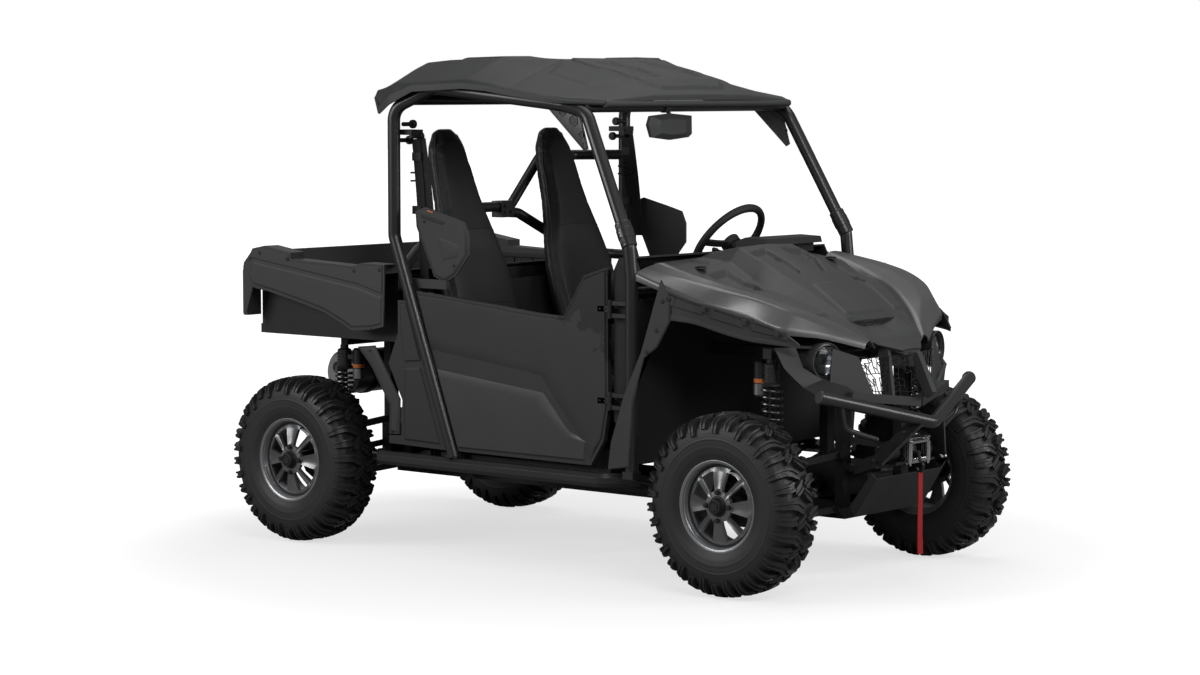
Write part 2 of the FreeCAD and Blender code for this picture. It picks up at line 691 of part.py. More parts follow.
def front_fascia():
    # Nose ridge, two angled side cheeks under the lamps and a lower lip round open grilles.
    ridge = plan_plate([(fx + 300, -70), (fx + 372, -26), (fx + 400, 0), (fx + 372, 26), (fx + 300, 70)], 860, 915)
    keel = side_plate([(fx + 400, 915), (fx + 472, 764), (fx + 440, 740), (fx + 345, 915)], -15, 15)
    under = panel_wall + fit_gap
    brow = skin([(x, whole_width([(y, z - under) for y, z in line[:4]])) for x, line in hood_stations()[-2:]], 14)
    lip = bar(V(fx + 395, 0, 722), V(fx + 300, 330, 760), 40, 34)
    cheek = cheek_solid()
    blade = bar(V(fx + 300, 98, 933), V(fx + 345, 124, 735), 20, 46)
    tongue = box(fx + 200 + fit_gap, fx + 316, -60, 60, 930, 946)
    foot = box(fx + 200 + fit_gap, fx + 210, -60, 60, 890, 940)
    parts = [ridge, keel, brow, tongue, foot]
    for s in (lip, cheek, blade):
        parts.append(s)
        parts.append(mirrored(s))
    return fuse(parts)


def cheek_solid():
    # Outer shield beside and below the lamp: a lofted wall that turns inward towards the nose.
    rings = []
    for z, x, y, inner_x, inner_y in ((951, 108, 556, 150, 474), (874, 140, 535, 180, 466), (830, 175, 510, 245, 432),
                                      (800, 200, 490, 290, 330), (742, 250, 400, 318, 250)):
        rings.append([V(fx + x, y, z), V(fx + x - 6, y - 12, z), V(fx + inner_x - 10, inner_y - 10, z), V(fx + inner_x, inner_y, z)])
    return solid_through(rings)


def headlamps():
    # Round lamp barrels with a lens set back inside a bezel, turned a little outward.
    axis = V(math.cos(math.radians(12)), math.sin(math.radians(12)), 0)
    back = V(fx + 132, 361, 894)
    body = rod(back, back + axis * 92, 66, 14)
    bore = rod(back + axis * 70, back + axis * 120, 56, 14)
    lens = rod(back + axis * 60, back + axis * 76, 50)
    arm = box(fx + 72 + fit_gap, fx + 142, 350, 374, shock_top, shock_top + 20)
    return pair(fuse([body.cut(bore), lens, arm]))


def front_bumper():
    # A V of thick tube on two plate uprights, with a thin loop each side.
    r = bumper_radius
    end = V(fx + 302, 509, 769)
    nose = V(fx + front_reach - nose_back, 0, 645)
    main = tube([end, nose, V(end.x, -end.y, end.z)], r, 46)
    foot = V(fx + 262, 236, 470)
    upright = bar(V(fx + 436, 70, 648), V(fx + 350, 215, 500), 12, 64)
    leg = bar(V(fx + 352, 213, 502), foot, 12, 60)
    loop = tube([V(fx + 333, 420, 742), V(fx + 318, 388, 640), V(fx + 345, 214, 590)], 9, 60)
    parts = [main]
    for s in (upright, leg, loop):
        parts.append(s)
        parts.append(mirrored(s))
    parts.append(bar(V(fx + 262, -240, 470), V(fx + 262, 240, 470), 44, 24))
    for s in (-1, 1):
        parts.append(bar(V(fx + 200 + fit_gap, s * rail_y, 470), V(fx + 262, s * rail_y, 470), 30, 24))
    return fuse(parts)


def winch():
    # Drum and motor across the nose, a tray, and a roller fairlead in front with a hook.
    spool = drum(30, 120, V(fx + 330, -60, 528), V(0, 1, 0))
    motors = [drum(40, 90, V(fx + 330, y, 528), V(0, 1, 0)) for y in (60, -150)]
    tray = box(fx + 275, fx + 385, -135, 135, 482.5, 492)
    frame = box(fx + 378, fx + 388, -76, 76, 480, 580)
    frame = frame.cut(box(fx + 370, fx + 400, -50, 50, 500, 560))
    rollers = [drum(10, 92, V(fx + 396, s * 62, 484)) for s in (-1, 1)]
    cross = [drum(8, 124, V(fx + 396, -62, z), V(0, 1, 0)) for z in (494, 566)]
    line = rod(V(fx + 345, -24, 530), V(fx + 414, -28, 524), 5)
    hook = side_plate([(fx + 406, 534), (fx + 424, 532), (fx + 430, 500), (fx + 446, 478), (fx + 444, 458),
                       (fx + 434, 450), (fx + 420, 450), (fx + 408, 458), (fx + 410, 466), (fx + 424, 462),
                       (fx + 432, 468), (fx + 430, 478), (fx + 412, 498)], -34, -22)
    return fuse([spool, tray, frame, line, hook] + motors + rollers + cross)


def hook_strap():
    # A flat pull strap that hangs straight down from the hook.
    x = fx + 428
    return box(x - 1.5, x + 1.5, -40.5, -15.5, 128, 450 - fit_gap)


def skid_plate():
    # Folded nose plate and a flat belly plate back to the rear axle.
    half = [(0, 0), (232, 0), (268, 40)]
    front = skin([(fx + 210, whole_width([(y, 274 + z) for y, z in half])),
                  (fx + 262, whole_width([(y, 288 + z) for y, z in half])),
                  (fx + 356, whole_width([(y * 0.96, 440 + z * 0.6) for y, z in half]))], panel_wall)
    belly = box(rx + 120, fx + 211, -228, 228, 268, 279.7)
    return fuse([front, belly])


# Suspension, drive and steering

def arm_set(x):
    # Lower and upper wishbones of one side: two legs each, from the frame to a ball joint.
    seat = pivot_seat
    arms = []
    for z0, z1, spread in ((lower_pivot_z, hub_z - ball_reach, lower_spread),
                           (upper_pivot_z, hub_z + ball_reach, upper_spread)):
        ball = V(x, kingpin_y, z1)
        legs = [bar(V(x + s * spread, seat, z0), ball, 30, arm_height) for s in (-1, 1)]
        pivots = [drum(pivot_radius, 50, V(x + s * spread - 25, seat, z0), V(1, 0, 0), 6) for s in (-1, 1)]
        cup = drum(ball_radius, 34, V(x, kingpin_y, z1 - 17), V(0, 0, 1), 6)
        arms.append(fuse(legs + pivots + [cup]))
    return arms


def arm_top(y):
    # Height of an upper arm's top face at a distance from the middle plane.
    rise = (upper_pivot_z - hub_z - ball_reach) / (kingpin_y - pivot_seat)
    return hub_z + ball_reach + (kingpin_y - y) * rise + arm_height / 2 * math.hypot(1, rise)


def suspension_arms():
    arms = arm_set(fx) + arm_set(rx)
    return Part.makeCompound(arms + [mirrored(a) for a in arms])


def shock(foot, head, reservoir_x):
    # Damper with a ribbed coil spring round it and a remote canister beside it.
    run = head - foot
    axis = run.normalize()
    length = (head - foot).Length
    outline = [(4, 0), (13, 0), (13, 40)]
    turns = 3
    low = 46.0
    pitch = (length - 150.0) / turns
    for k in range(turns):
        z = low + pitch * k
        outline += [(24, z), (36, z + pitch * 0.5)]
    outline += [(24, length - 100), (28, length - 98), (28, length - 20), (14, length - 16), (14, length), (4, length)]
    body = turned([(z, r) for r, z in outline], 6)
    body.Placement = FreeCAD.Placement(foot, FreeCAD.Rotation(V(0, 1, 0), axis))
    can = drum(24, 130, V(reservoir_x, head.y + 4, head.z - 165), V(0, 0, 1), 6)
    strap = bar(V(head.x, head.y, head.z - 50), V(reservoir_x, head.y + 4, head.z - 50), 20, 16)
    return fuse([body, can, strap])


def shock_absorbers():
    side = (kingpin_y - 470) / (kingpin_y - pivot_seat) * upper_spread
    foot = arm_top(470 - 13) + 2 * fit_gap
    front = shock(V(fx + side, 470, foot), V(fx + side, 486, shock_top - 3 * fit_gap), fx - 6)
    rear = shock(V(rx + side, 470, foot), V(rx + side, 474, deck_z - 45 - 3 * fit_gap), rx + 132)
    return Part.makeCompound([front, rear, mirrored(front), mirrored(rear)])


def upright(x):
    # Post outboard of the ball joints, ears over and under them, brake disc and spindle.
    y = kingpin_y + ball_radius + 7
    low = hub_z - ball_reach
    high = hub_z + ball_reach
    ear = 14.0
    head = max(high - 17 - fit_gap, rack_z + rack_radius + 20)
    post = box(x - 20, x + 20, y, y + 25, low + 17 + fit_gap, head)
    ears = [box(x - 14, x + 14, kingpin_y - 14, y + 4, z, z + ear)
            for z in (low + 17 + fit_gap, high - 17 - fit_gap - ear)]
    end = half_track + rim_half_width - 32 - fit_gap
    spindle = drum(32, end - y - 10, V(x, y + 10, hub_z), V(0, 1, 0))
    disc = drum(100, 8, V(x, y + 30, hub_z), V(0, 1, 0), 12)
    return [post, spindle, disc] + ears


def front_knuckle(side):
    # Upright with a steering arm that reaches back over the tie rod's eye.
    y = kingpin_y
    outer = y + ball_radius
    z = rack_z + rack_radius + 5 + fit_gap
    eye = fx - steer_arm
    arm = plan_plate([(eye - 14, y - 14), (eye + 14, y - 14), (fx - 19, outer + 8), (fx - 19, outer + 30),
                      (eye + 4, y + 18), (eye - 14, y + 14)], z, z + 14)
    shape = fuse(upright(fx) + [arm])
    return mirrored(shape) if side < 0 else shape


def steering_rack():
    # Sliding rack with a tie rod each side, its pin standing up to the knuckle's arm.
    x = fx - steer_arm
    parts = [drum(rack_radius, 360, V(x, -180, rack_z), V(0, 1, 0), 16)]
    for s in (-1, 1):
        parts.append(drum(9, kingpin_y - 178, V(x, s * 178, rack_z), V(0, s, 0)))
        parts.append(drum(12, rack_radius + 17, V(x, s * kingpin_y, rack_z - 12)))
    return fuse(parts)


def rear_knuckles():
    return pair(fuse(upright(rx)))


def drive_shafts():
    # Final drive housings and the half shafts that run out of them, front and rear.
    sets = []
    for x in (fx, rx):
        case = box(x - 84, x + 84, -110, 110, rail_top + fit_gap, rail_top + 130)
        feet = box(x - 25, x + 25, -rail_y, rail_y, rail_top + fit_gap, rail_top + 20)
        shafts = [rod(V(x, s * 100, hub_z + 30), V(x, s * (kingpin_y + 12), hub_z), 14, 6) for s in (-1, 1)]
        boots = [rod(V(x, s * 110, hub_z + 30), V(x, s * 160, hub_z + 26), 34) for s in (-1, 1)]
        sets.append(fuse([case, feet] + shafts + boots))
    return Part.makeCompound(sets)


def engine_block():
    # Engine and gearbox as one closed block between the rails, on their cross member.
    side = rail_y - rail_width / 2 - fit_gap
    return box(pillar - 340, pillar + 110, -side, side, rail_top - 7 + fit_gap, 690)


def muffler():
    # Drum silencer across the rear with its pipe from the engine.
    x = rx - 120
    z = 690.0
    can = drum(98, 640, V(x, -320, z), V(0, 1, 0))
    cap = drum(88, 660, V(x, -330, z), V(0, 1, 0))
    pipe = tube([V(x + 60, 0, z - 10), V(rx + 90, 0, z - 10), V(rx + 190, 0, 620),
                 V(pillar - 340 - fit_gap, 0, 620)], 22, 40)
    holds = [box(x + 88, rx - 10.3, s * 200 - 14, s * 200 + 14, z - 18, z + 18) for s in (-1, 1)]
    return fuse([can, cap, pipe] + holds)


def mirror():
    # Faceted centre mirror on a short stem under the roof's front tube.
    x = cowl - 168
    z = roof_z - 222
    rim_line = [(-284, z - 46), (-268, z - 10), (-140, z), (0, z - 10), (2, z - 84), (-20, z - 98), (-140, z - 108),
                (-262, z - 96)]
    head = cross_plate(rim_line, x - 14, x + 8)
    stem = rod(V(x - 3, -140, z - 6), V(cowl - 187, -152, z + 1), 7)
    return fuse([head, stem])


# Cargo bed and doors

def cargo_bed():
    # Open tub: ribbed floor, side walls and front wall, with hinge lugs below.
    t = 8.0
    z0 = deck_z + fit_gap
    top = 1176.0
    floor = box(bed_back + 34, bed_front - 20, -tub_y, tub_y, z0, z0 + t)
    walls = [box(bed_back + 34, bed_front - 20, s * tub_y - t / 2, s * tub_y + t / 2, z0, top) for s in (-1, 1)]
    head = box(bed_front - 28, bed_front - 20, -tub_y, tub_y, z0, top)
    ribs = [box(bed_back + 60, bed_front - 40, y - 18, y + 18, z0 + t - 1, z0 + t + 6)
            for y in (-480, -160, 160, 480)]
    lugs = []
    for s in (-1, 1):
        lug = box(bed_hinge_x - 18, bed_hinge_x + 18, s * 245 - 6, s * 245 + 6, bed_hinge_z - 18, z0 + 2)
        pin = Part.makeCylinder(hinge_pin_radius + run_gap, 40, V(bed_hinge_x, s * 245 - 20, bed_hinge_z), V(0, 1, 0))
        lugs.append(lug.cut(pin))
    for s in (-1, 1):
        ends = sorted((s * (tub_y - 7), s * (tub_y + 1)))
        lugs.append(box(bed_back + 6, bed_back + 36, ends[0], ends[1], z0, gate_hinge_z + 12))
        pin = Part.makeCylinder(gate_pin_radius, 34, V(gate_hinge_x, s * (tub_y - 1), gate_hinge_z), V(0, -s, 0))
        lugs.append(pin)
    return fuse([floor, head] + walls + ribs + lugs)


def bed_side_panels():
    # Faceted outer panels over the rear wheels, with lamp blocks at their rear corners.
    b = bed_back
    f = bed_front
    outer = [(b + 46, 1250), (b + 120, 1264), (b + 278, 1240), (b + 278, 1212), (f - 200, 1196), (f - 150, 1211),
             (f - 20, 1208), (f - 28, 950), (f - 96, 934)]
    arch = [(354, 925), (302, 951), (188, 996), (60, 1026), (-123, 1065), (-250, 1082)]
    outer += [(max(rx + x, b + 40), z) for x, z in arch]
    outer += [(b + 10, 966), (b - 15, 966), (b - 15, 1154)]
    y = body_y
    plate = side_plate(outer, y - 12, y - 4)
    shelf = side_plate([(b + 46, 1250), (b + 120, 1264), (b + 278, 1240), (b + 278, 1212), (f - 200, 1196),
                        (f - 150, 1211), (f - 20, 1208), (f - 20, 1170), (b - 15, 1170), (b - 15, 1186)],
                       tub_y + 4 + fit_gap, y - 11)
    crease = side_plate([(b + 40, 1206), (f - 180, 1119), (f - 24, 1080), (f - 25, 1010), (f - 200, 1000),
                         (b + 20, 1130)], y - 5, y + 2)
    rear = box(b - 15, b + 12, tub_y + 4 + fit_gap, y - 8, 960, 1175)
    return pair(fuse([plate, shelf, crease, rear]))


def tailgate():
    # Pressed gate across the rear of the bed, hinged at its lower edge.
    z0 = deck_z + 14
    y = tub_y - 10
    x = bed_back
    plate = box(x + 2, x + 28, -y, y, z0, 1236)
    dent = box(x - 4, x + 8, -y + 90, y - 90, z0 + 70, 1170)
    handle = box(x - 4, x + 9, -90, 90, 1060, 1100)
    shape = fuse([plate.cut(dent), handle])
    for s in (-1, 1):
        start = V(gate_hinge_x, s * (y + 2), gate_hinge_z)
        shape = shape.cut(Part.makeCylinder(gate_pin_radius + run_gap, 40, start, V(0, -s, 0)))
    return shape


def door(side):
    # Half door: a shaped panel as thick as the real door, pressed band, raised front corner.
    y = body_y
    gap = (cage_radius + panel_gap) * 1.06
    bottom = rocker_z + rocker_radius + 10
    rear = [(pillar_line(z) + gap, z) for z in (bottom + 16, 1106)]
    outline = [rear[0], rear[1], (pillar + 316, 1090), (cowl - 379, 1047), (cowl - 231, 1039), (cowl - 125, 1207),
               (cowl - 4, 1244), (cowl, 690), (cowl - 23, 562), (cowl - 88, bottom + 14)]
    body = side_plate(outline, y - door_wall, y - 6)
    band = side_plate([(pillar + 235, 872), (cowl - 359, 797), (cowl - 295, 823), (cowl - 92, 560), (cowl - 110, 552),
                       (cowl - 214, 560), (cowl - 384, 698), (pillar + 273, 752)], y - 7, y)
    parts = [body, band]
    for z in hinge_heights:
        parts.append(box(cowl - 50, hinge_x, y - 7, y, z - 12, z + 12))
        parts.append(drum(8, 24, V(hinge_x, y, z - 12)))
    shape = fuse(parts)
    return mirrored(shape) if side < 0 else shape


def write(name, shape):
    placed = shape.copy()
    placed.translate(V(-mid_x, 0, 0))
    placed.exportStep("parts/%s.step" % name)


def main():
    os.makedirs("parts", exist_ok=True)
    pieces = {
        "chassis_frame": chassis_frame(),
        "side_sills": side_sills(),
        "roll_cage": roll_cage(),
        "roof": roof(),
        "floor_pan": floor_pan(),
        "inner_liners": inner_liners(),
        "dashboard": dashboard(),
        "steering_wheel": steering_wheel(),
        "seat_right": seat(-1),
        "seat_left": seat(1),
        "shoulder_guards": shoulder_guards(),
        "seat_belts": seat_belts(),
        "quarter_panels": quarter_panels(),
        "front_fenders": front_fenders(),
        "fender_flares": fender_flares(),
        "hood": hood(),
        "front_fascia": front_fascia(),
        "headlamps": headlamps(),
        "front_bumper": front_bumper(),
        "winch": winch(),
        "hook_strap": hook_strap(),
        "skid_plate": skid_plate(),
        "suspension_arms": suspension_arms(),
        "shock_absorbers": shock_absorbers(),
        "front_knuckle_right": front_knuckle(-1),
        "front_knuckle_left": front_knuckle(1),
        "steering_rack": steering_rack(),
        "rear_knuckles": rear_knuckles(),
        "drive_shafts": drive_shafts(),
        "engine_block": engine_block(),
        "muffler": muffler(),
        "mirror": mirror(),
        "cargo_bed": cargo_bed(),
        "bed_side_panels": bed_side_panels(),
        "tailgate": tailgate(),
        "door_right": door(-1),
        "door_left": door(1),
    }
    pieces.update(wheels())
    for name, shape in pieces.items():
        write(name, shape)
        box_of = shape.BoundBox
        print("%s solids %d volume %.0f z %.0f..%.0f" % (name, len(shape.Solids), shape.Volume, box_of.ZMin, box_of.ZMax))


main()
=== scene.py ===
import bpy
import bmesh
import math
import numpy as np
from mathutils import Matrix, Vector


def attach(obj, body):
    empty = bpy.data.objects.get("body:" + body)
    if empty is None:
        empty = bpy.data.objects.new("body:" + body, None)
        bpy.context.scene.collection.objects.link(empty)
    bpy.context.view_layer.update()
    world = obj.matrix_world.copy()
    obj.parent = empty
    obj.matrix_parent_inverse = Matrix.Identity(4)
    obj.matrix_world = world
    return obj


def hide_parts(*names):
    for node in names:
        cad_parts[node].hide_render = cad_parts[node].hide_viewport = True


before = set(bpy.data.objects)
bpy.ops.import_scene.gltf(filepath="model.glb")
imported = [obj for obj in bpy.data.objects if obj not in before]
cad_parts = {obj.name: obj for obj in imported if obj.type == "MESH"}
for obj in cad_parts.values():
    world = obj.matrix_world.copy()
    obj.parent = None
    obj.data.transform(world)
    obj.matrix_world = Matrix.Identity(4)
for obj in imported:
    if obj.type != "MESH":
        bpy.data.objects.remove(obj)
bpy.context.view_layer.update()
middleX = 66.7          # pieces are drawn in millimetres from the mid-axle plane, as in the source
print("frame loaded with", len(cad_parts), "nodes")

# camera, floor and light
camera = {"azimuth": 39.66, "elevation": 4.70, "place": (8.0713, -9.894, 1.944), "lens": 91.53}
light = {"floorSeen": 0.95, "floorFelt": 0.30, "floorGlow": 0.56, "glowPower": 1.2, "strip": 110,
         "sky": 0.14, "overhead": 100, "side": 170, "front": 120, "rear": 12, "reach": 60.0,
         "fadeFrom": 1.7, "fadeTo": 2.9}

turn, rise = math.radians(camera["azimuth"]), math.radians(camera["elevation"])
back = Vector((math.sin(turn) * math.cos(rise), -math.cos(turn) * math.cos(rise), math.sin(rise)))
view = bpy.data.objects.new("view", bpy.data.cameras.new("view"))
bpy.context.scene.collection.objects.link(view)
view.location = camera["place"]
view.rotation_mode = "QUATERNION"
view.rotation_quaternion = (-back).to_track_quat("-Z", "Y")
view.data.lens = camera["lens"]
view.data.sensor_width = 36
view.data.clip_end = 200
bpy.context.scene.camera = view
bpy.context.scene.view_settings.view_transform = "Standard"

world = bpy.data.worlds.new("studio")
bpy.context.scene.world = world
world.use_nodes = True
nodes, links = world.node_tree.nodes, world.node_tree.links
nodes.clear()
path = nodes.new("ShaderNodeLightPath")
soft = nodes.new("ShaderNodeBackground")
soft.inputs["Color"].default_value = (light["sky"],) * 3 + (1,)
white = nodes.new("ShaderNodeBackground")
white.inputs["Color"].default_value = (1, 1, 1, 1)
choice = nodes.new("ShaderNodeMixShader")
links.new(path.outputs["Is Camera Ray"], choice.inputs[0])
links.new(soft.outputs[0], choice.inputs[1])
links.new(white.outputs[0], choice.inputs[2])
links.new(choice.outputs[0], nodes.new("ShaderNodeOutputWorld").inputs[0])


def makeFloor():
    # a plane that keeps the shadow near the vehicle and fades to plain white farther out
    mesh = bpy.data.meshes.new("floor")
    reach = light["reach"]
    corners = [(-reach, -reach, 0), (reach, -reach, 0), (reach, reach, 0), (-reach, reach, 0)]
    mesh.from_pydata(corners, [], [(0, 1, 2, 3)])
    floor = bpy.data.objects.new("floor", mesh)
    bpy.context.scene.collection.objects.link(floor)
    made = bpy.data.materials.new("floor")
    made.use_nodes = True
    nodes, links = made.node_tree.nodes, made.node_tree.links
    nodes.clear()
    matt = nodes.new("ShaderNodeBsdfDiffuse")
    glow = nodes.new("ShaderNodeEmission")
    glow.inputs["Color"].default_value = (1, 1, 1, 1)
    glow.inputs["Strength"].default_value = light["glowPower"]
    place = nodes.new("ShaderNodeTexCoord")
    span = nodes.new("ShaderNodeVectorMath")
    span.operation = "LENGTH"
    links.new(place.outputs["Object"], span.inputs[0])
    fade = nodes.new("ShaderNodeMapRange")
    fade.interpolation_type = "SMOOTHSTEP"
    fade.inputs["From Min"].default_value = light["fadeFrom"]
    fade.inputs["From Max"].default_value = light["fadeTo"]
    links.new(span.outputs["Value"], fade.inputs["Value"])
    path = nodes.new("ShaderNodeLightPath")
    fade.inputs["To Min"].default_value = light["floorGlow"]
    grey = nodes.new("ShaderNodeMix")
    grey.data_type = "RGBA"
    grey.inputs["A"].default_value = (light["floorFelt"],) * 3 + (1,)
    grey.inputs["B"].default_value = (light["floorSeen"],) * 3 + (1,)
    links.new(path.outputs["Is Camera Ray"], grey.inputs["Factor"])
    links.new(grey.outputs["Result"], matt.inputs["Color"])
    share = nodes.new("ShaderNodeMath")
    share.operation = "MULTIPLY"
    links.new(fade.outputs[0], share.inputs[0])
    links.new(path.outputs["Is Camera Ray"], share.inputs[1])
    mix = nodes.new("ShaderNodeMixShader")
    links.new(share.outputs[0], mix.inputs[0])
    links.new(matt.outputs[0], mix.inputs[1])
    links.new(glow.outputs[0], mix.inputs[2])
    links.new(mix.outputs[0], nodes.new("ShaderNodeOutputMaterial").inputs[0])
    mesh.materials.append(made)


def softbox(name, power, size, place, aim):
    lamp = bpy.data.lights.new(name, "AREA")
    lamp.shape = "RECTANGLE"
    lamp.size, lamp.size_y = size
    lamp.energy = power
    box = bpy.data.objects.new(name, lamp)
    bpy.context.scene.collection.objects.link(box)
    box.location = place
    box.rotation_mode = "QUATERNION"
    box.rotation_quaternion = (Vector(aim) - Vector(place)).to_track_quat("-Z", "Y")


makeFloor()
softbox("overhead", light["overhead"], (5.0, 4.0), (0.4, 0.6, 5.2), (0, 0, 0.8))
softbox("side", light["side"], (4.0, 2.4), (-3.5, -6.0, 3.2), (0, -0.5, 0.8))
softbox("front", light["front"], (3.0, 2.0), (6.5, 2.5, 2.8), (0.8, 0, 0.8))
softbox("strip", light["strip"], (3.6, 0.5), (5.2, -3.4, 4.2), (0.4, 0, 0.9))
softbox("rear", light["rear"], (4.0, 1.6), (-5.0, 5.0, 4.0), (0, 0, 1.2))
print("camera, floor and light")

# finishes
finishes = {
    # colour, roughness, metal, coat, grain size per metre, grain depth, mottling
    "tubeSatin": ((0.020, 0.020, 0.021), 0.36, 0.0, 0.25, 900, 0.10, 0.25),
    "roofPlastic": ((0.032, 0.033, 0.034), 0.62, 0.0, 0.0, 1400, 0.25, 0.18),
    "hoodPlastic": ((0.042, 0.043, 0.044), 0.56, 0.0, 0.0, 1400, 0.22, 0.16),
    "fenderGloss": ((0.105, 0.106, 0.109), 0.40, 0.35, 0.5, 2600, 0.04, 0.10),
    "flarePlastic": ((0.040, 0.040, 0.041), 0.62, 0.0, 0.0, 1300, 0.35, 0.22),
    "doorPlastic": ((0.026, 0.026, 0.027), 0.48, 0.0, 0.05, 1500, 0.15, 0.18),
    "doorLight": ((0.044, 0.044, 0.046), 0.42, 0.0, 0.10, 1500, 0.12, 0.15),
    "blackPlastic": ((0.010, 0.010, 0.011), 0.55, 0.0, 0.0, 1200, 0.30, 0.30),
    "dashPlastic": ((0.013, 0.013, 0.014), 0.62, 0.0, 0.0, 1000, 0.40, 0.25),
    "rubber": ((0.022, 0.022, 0.023), 0.50, 0.0, 0.0, 700, 0.35, 0.35),
    "rubberWorn": ((0.028, 0.028, 0.029), 0.42, 0.0, 0.0, 900, 0.40, 0.35),
    "alloyDark": ((0.22, 0.222, 0.228), 0.34, 0.75, 0.25, 1800, 0.05, 0.15),
    "alloyLip": ((0.34, 0.345, 0.355), 0.38, 0.80, 0.20, 1500, 0.04, 0.12),
    "blackSteel": ((0.014, 0.014, 0.015), 0.45, 0.1, 0.10, 1000, 0.15, 0.30),
    "bareSteel": ((0.36, 0.36, 0.37), 0.34, 1.0, 0.0, 1200, 0.15, 0.35),
    "chrome": ((0.62, 0.62, 0.64), 0.12, 1.0, 0.0, 1500, 0.03, 0.10),
    "silverCan": ((0.42, 0.42, 0.44), 0.38, 0.9, 0.0, 1400, 0.10, 0.20),
    "orangeBand": ((0.62, 0.16, 0.03), 0.45, 0.0, 0.2, 1600, 0.05, 0.15),
    "beltCloth": ((0.014, 0.014, 0.015), 0.80, 0.0, 0.0, 1800, 0.40, 0.25),
    "strapRed": ((0.42, 0.010, 0.012), 0.70, 0.0, 0.0, 1800, 0.30, 0.30),
    "seatVinyl": ((0.013, 0.013, 0.014), 0.52, 0.0, 0.0, 850, 0.45, 0.25),
    "buckleRed": ((0.50, 0.02, 0.02), 0.35, 0.0, 0.3, 1500, 0.05, 0.10),
    "lampShell": ((0.020, 0.020, 0.021), 0.30, 0.0, 0.4, 1500, 0.05, 0.15),
    "reflector": ((0.85, 0.86, 0.88), 0.16, 1.0, 0.0, 1200, 0.05, 0.08),
    "engineGrey": ((0.06, 0.06, 0.062), 0.50, 0.6, 0.0, 500, 0.30, 0.40),
    "bedPlastic": ((0.042, 0.042, 0.043), 0.52, 0.0, 0.0, 1400, 0.22, 0.16),
    "linerPlastic": ((0.014, 0.014, 0.0145), 0.70, 0.0, 0.0, 1000, 0.35, 0.30),
    "skidPlastic": ((0.012, 0.012, 0.013), 0.50, 0.0, 0.0, 900, 0.35, 0.30),
    "castSteel": ((0.030, 0.030, 0.031), 0.50, 0.5, 0.0, 500, 0.35, 0.35),
    "springGloss": ((0.035, 0.035, 0.037), 0.24, 0.1, 1.0, 1500, 0.04, 0.15),
    "seatPiping": ((0.022, 0.022, 0.023), 0.45, 0.0, 0.1, 1200, 0.20, 0.15),
    "lampRed": ((0.16, 0.008, 0.008), 0.22, 0.0, 0.5, 1500, 0.03, 0.10),
    "mirrorGlass": ((0.70, 0.71, 0.73), 0.05, 1.0, 0.0, 1500, 0.01, 0.04),
}
library = {}


def makeFinish(name, colour, roughness, metal, coat, grain, depth, mottle):
    # colour drifts with a broad noise, roughness and bump follow a fine one
    made = bpy.data.materials.new(name)
    made.use_nodes = True
    nodes, links = made.node_tree.nodes, made.node_tree.links
    shader = nodes["Principled BSDF"]
    shader.inputs["Metallic"].default_value = metal
    shader.inputs["Coat Weight"].default_value = coat
    shader.inputs["Coat Roughness"].default_value = 0.2
    place = nodes.new("ShaderNodeTexCoord")
    broad = nodes.new("ShaderNodeTexNoise")
    broad.inputs["Scale"].default_value = 7.0
    broad.inputs["Detail"].default_value = 5.0
    fine = nodes.new("ShaderNodeTexNoise")
    fine.inputs["Scale"].default_value = grain
    fine.inputs["Detail"].default_value = 2.0
    for noise in (broad, fine):
        links.new(place.outputs["Object"], noise.inputs["Vector"])
    drift = nodes.new("ShaderNodeMix")
    drift.data_type = "RGBA"
    drift.inputs["A"].default_value = tuple(c * (1 - mottle) for c in colour) + (1,)
    drift.inputs["B"].default_value = tuple(min(c * (1 + mottle), 1) for c in colour) + (1,)
    links.new(broad.outputs["Fac"], drift.inputs["Factor"])
    links.new(drift.outputs["Result"], shader.inputs["Base Color"])
    dull = nodes.new("ShaderNodeMapRange")
    dull.inputs["To Min"].default_value = max(roughness - 0.09, 0.04)
    dull.inputs["To Max"].default_value = roughness + 0.09
    links.new(fine.outputs["Fac"], dull.inputs["Value"])
    links.new(dull.outputs[0], shader.inputs["Roughness"])
    bump = nodes.new("ShaderNodeBump")
    bump.inputs["Strength"].default_value = depth
    bump.inputs["Distance"].default_value = 0.0006
    links.new(fine.outputs["Fac"], bump.inputs["Height"])
    links.new(bump.outputs[0], shader.inputs["Normal"])
    library[name] = made
    return made


for name, values in finishes.items():
    makeFinish(name, *values)


def addWeave(name, perMetre, depth):
    # crossing threads: the product of two sine waves, laid over the finish's own bump
    tree = library[name].node_tree
    nodes, links = tree.nodes, tree.links
    bump = next(n for n in nodes if n.type == "BUMP")
    place = next(n for n in nodes if n.type == "TEX_COORD")
    waves = []
    for axis in ("X", "Z"):
        wave = nodes.new("ShaderNodeTexWave")
        wave.bands_direction = axis
        wave.inputs["Scale"].default_value = perMetre
        links.new(place.outputs["Object"], wave.inputs["Vector"])
        waves.append(wave)
    cross = nodes.new("ShaderNodeMath")
    cross.operation = "MULTIPLY"
    links.new(waves[0].outputs["Fac"], cross.inputs[0])
    links.new(waves[1].outputs["Fac"], cross.inputs[1])
    over = nodes.new("ShaderNodeBump")
    over.inputs["Strength"].default_value = depth
    over.inputs["Distance"].default_value = 0.001
    links.new(cross.outputs[0], over.inputs["Height"])
    links.new(bump.outputs[0], over.inputs["Normal"])
    links.new(over.outputs[0], nodes["Principled BSDF"].inputs["Normal"])


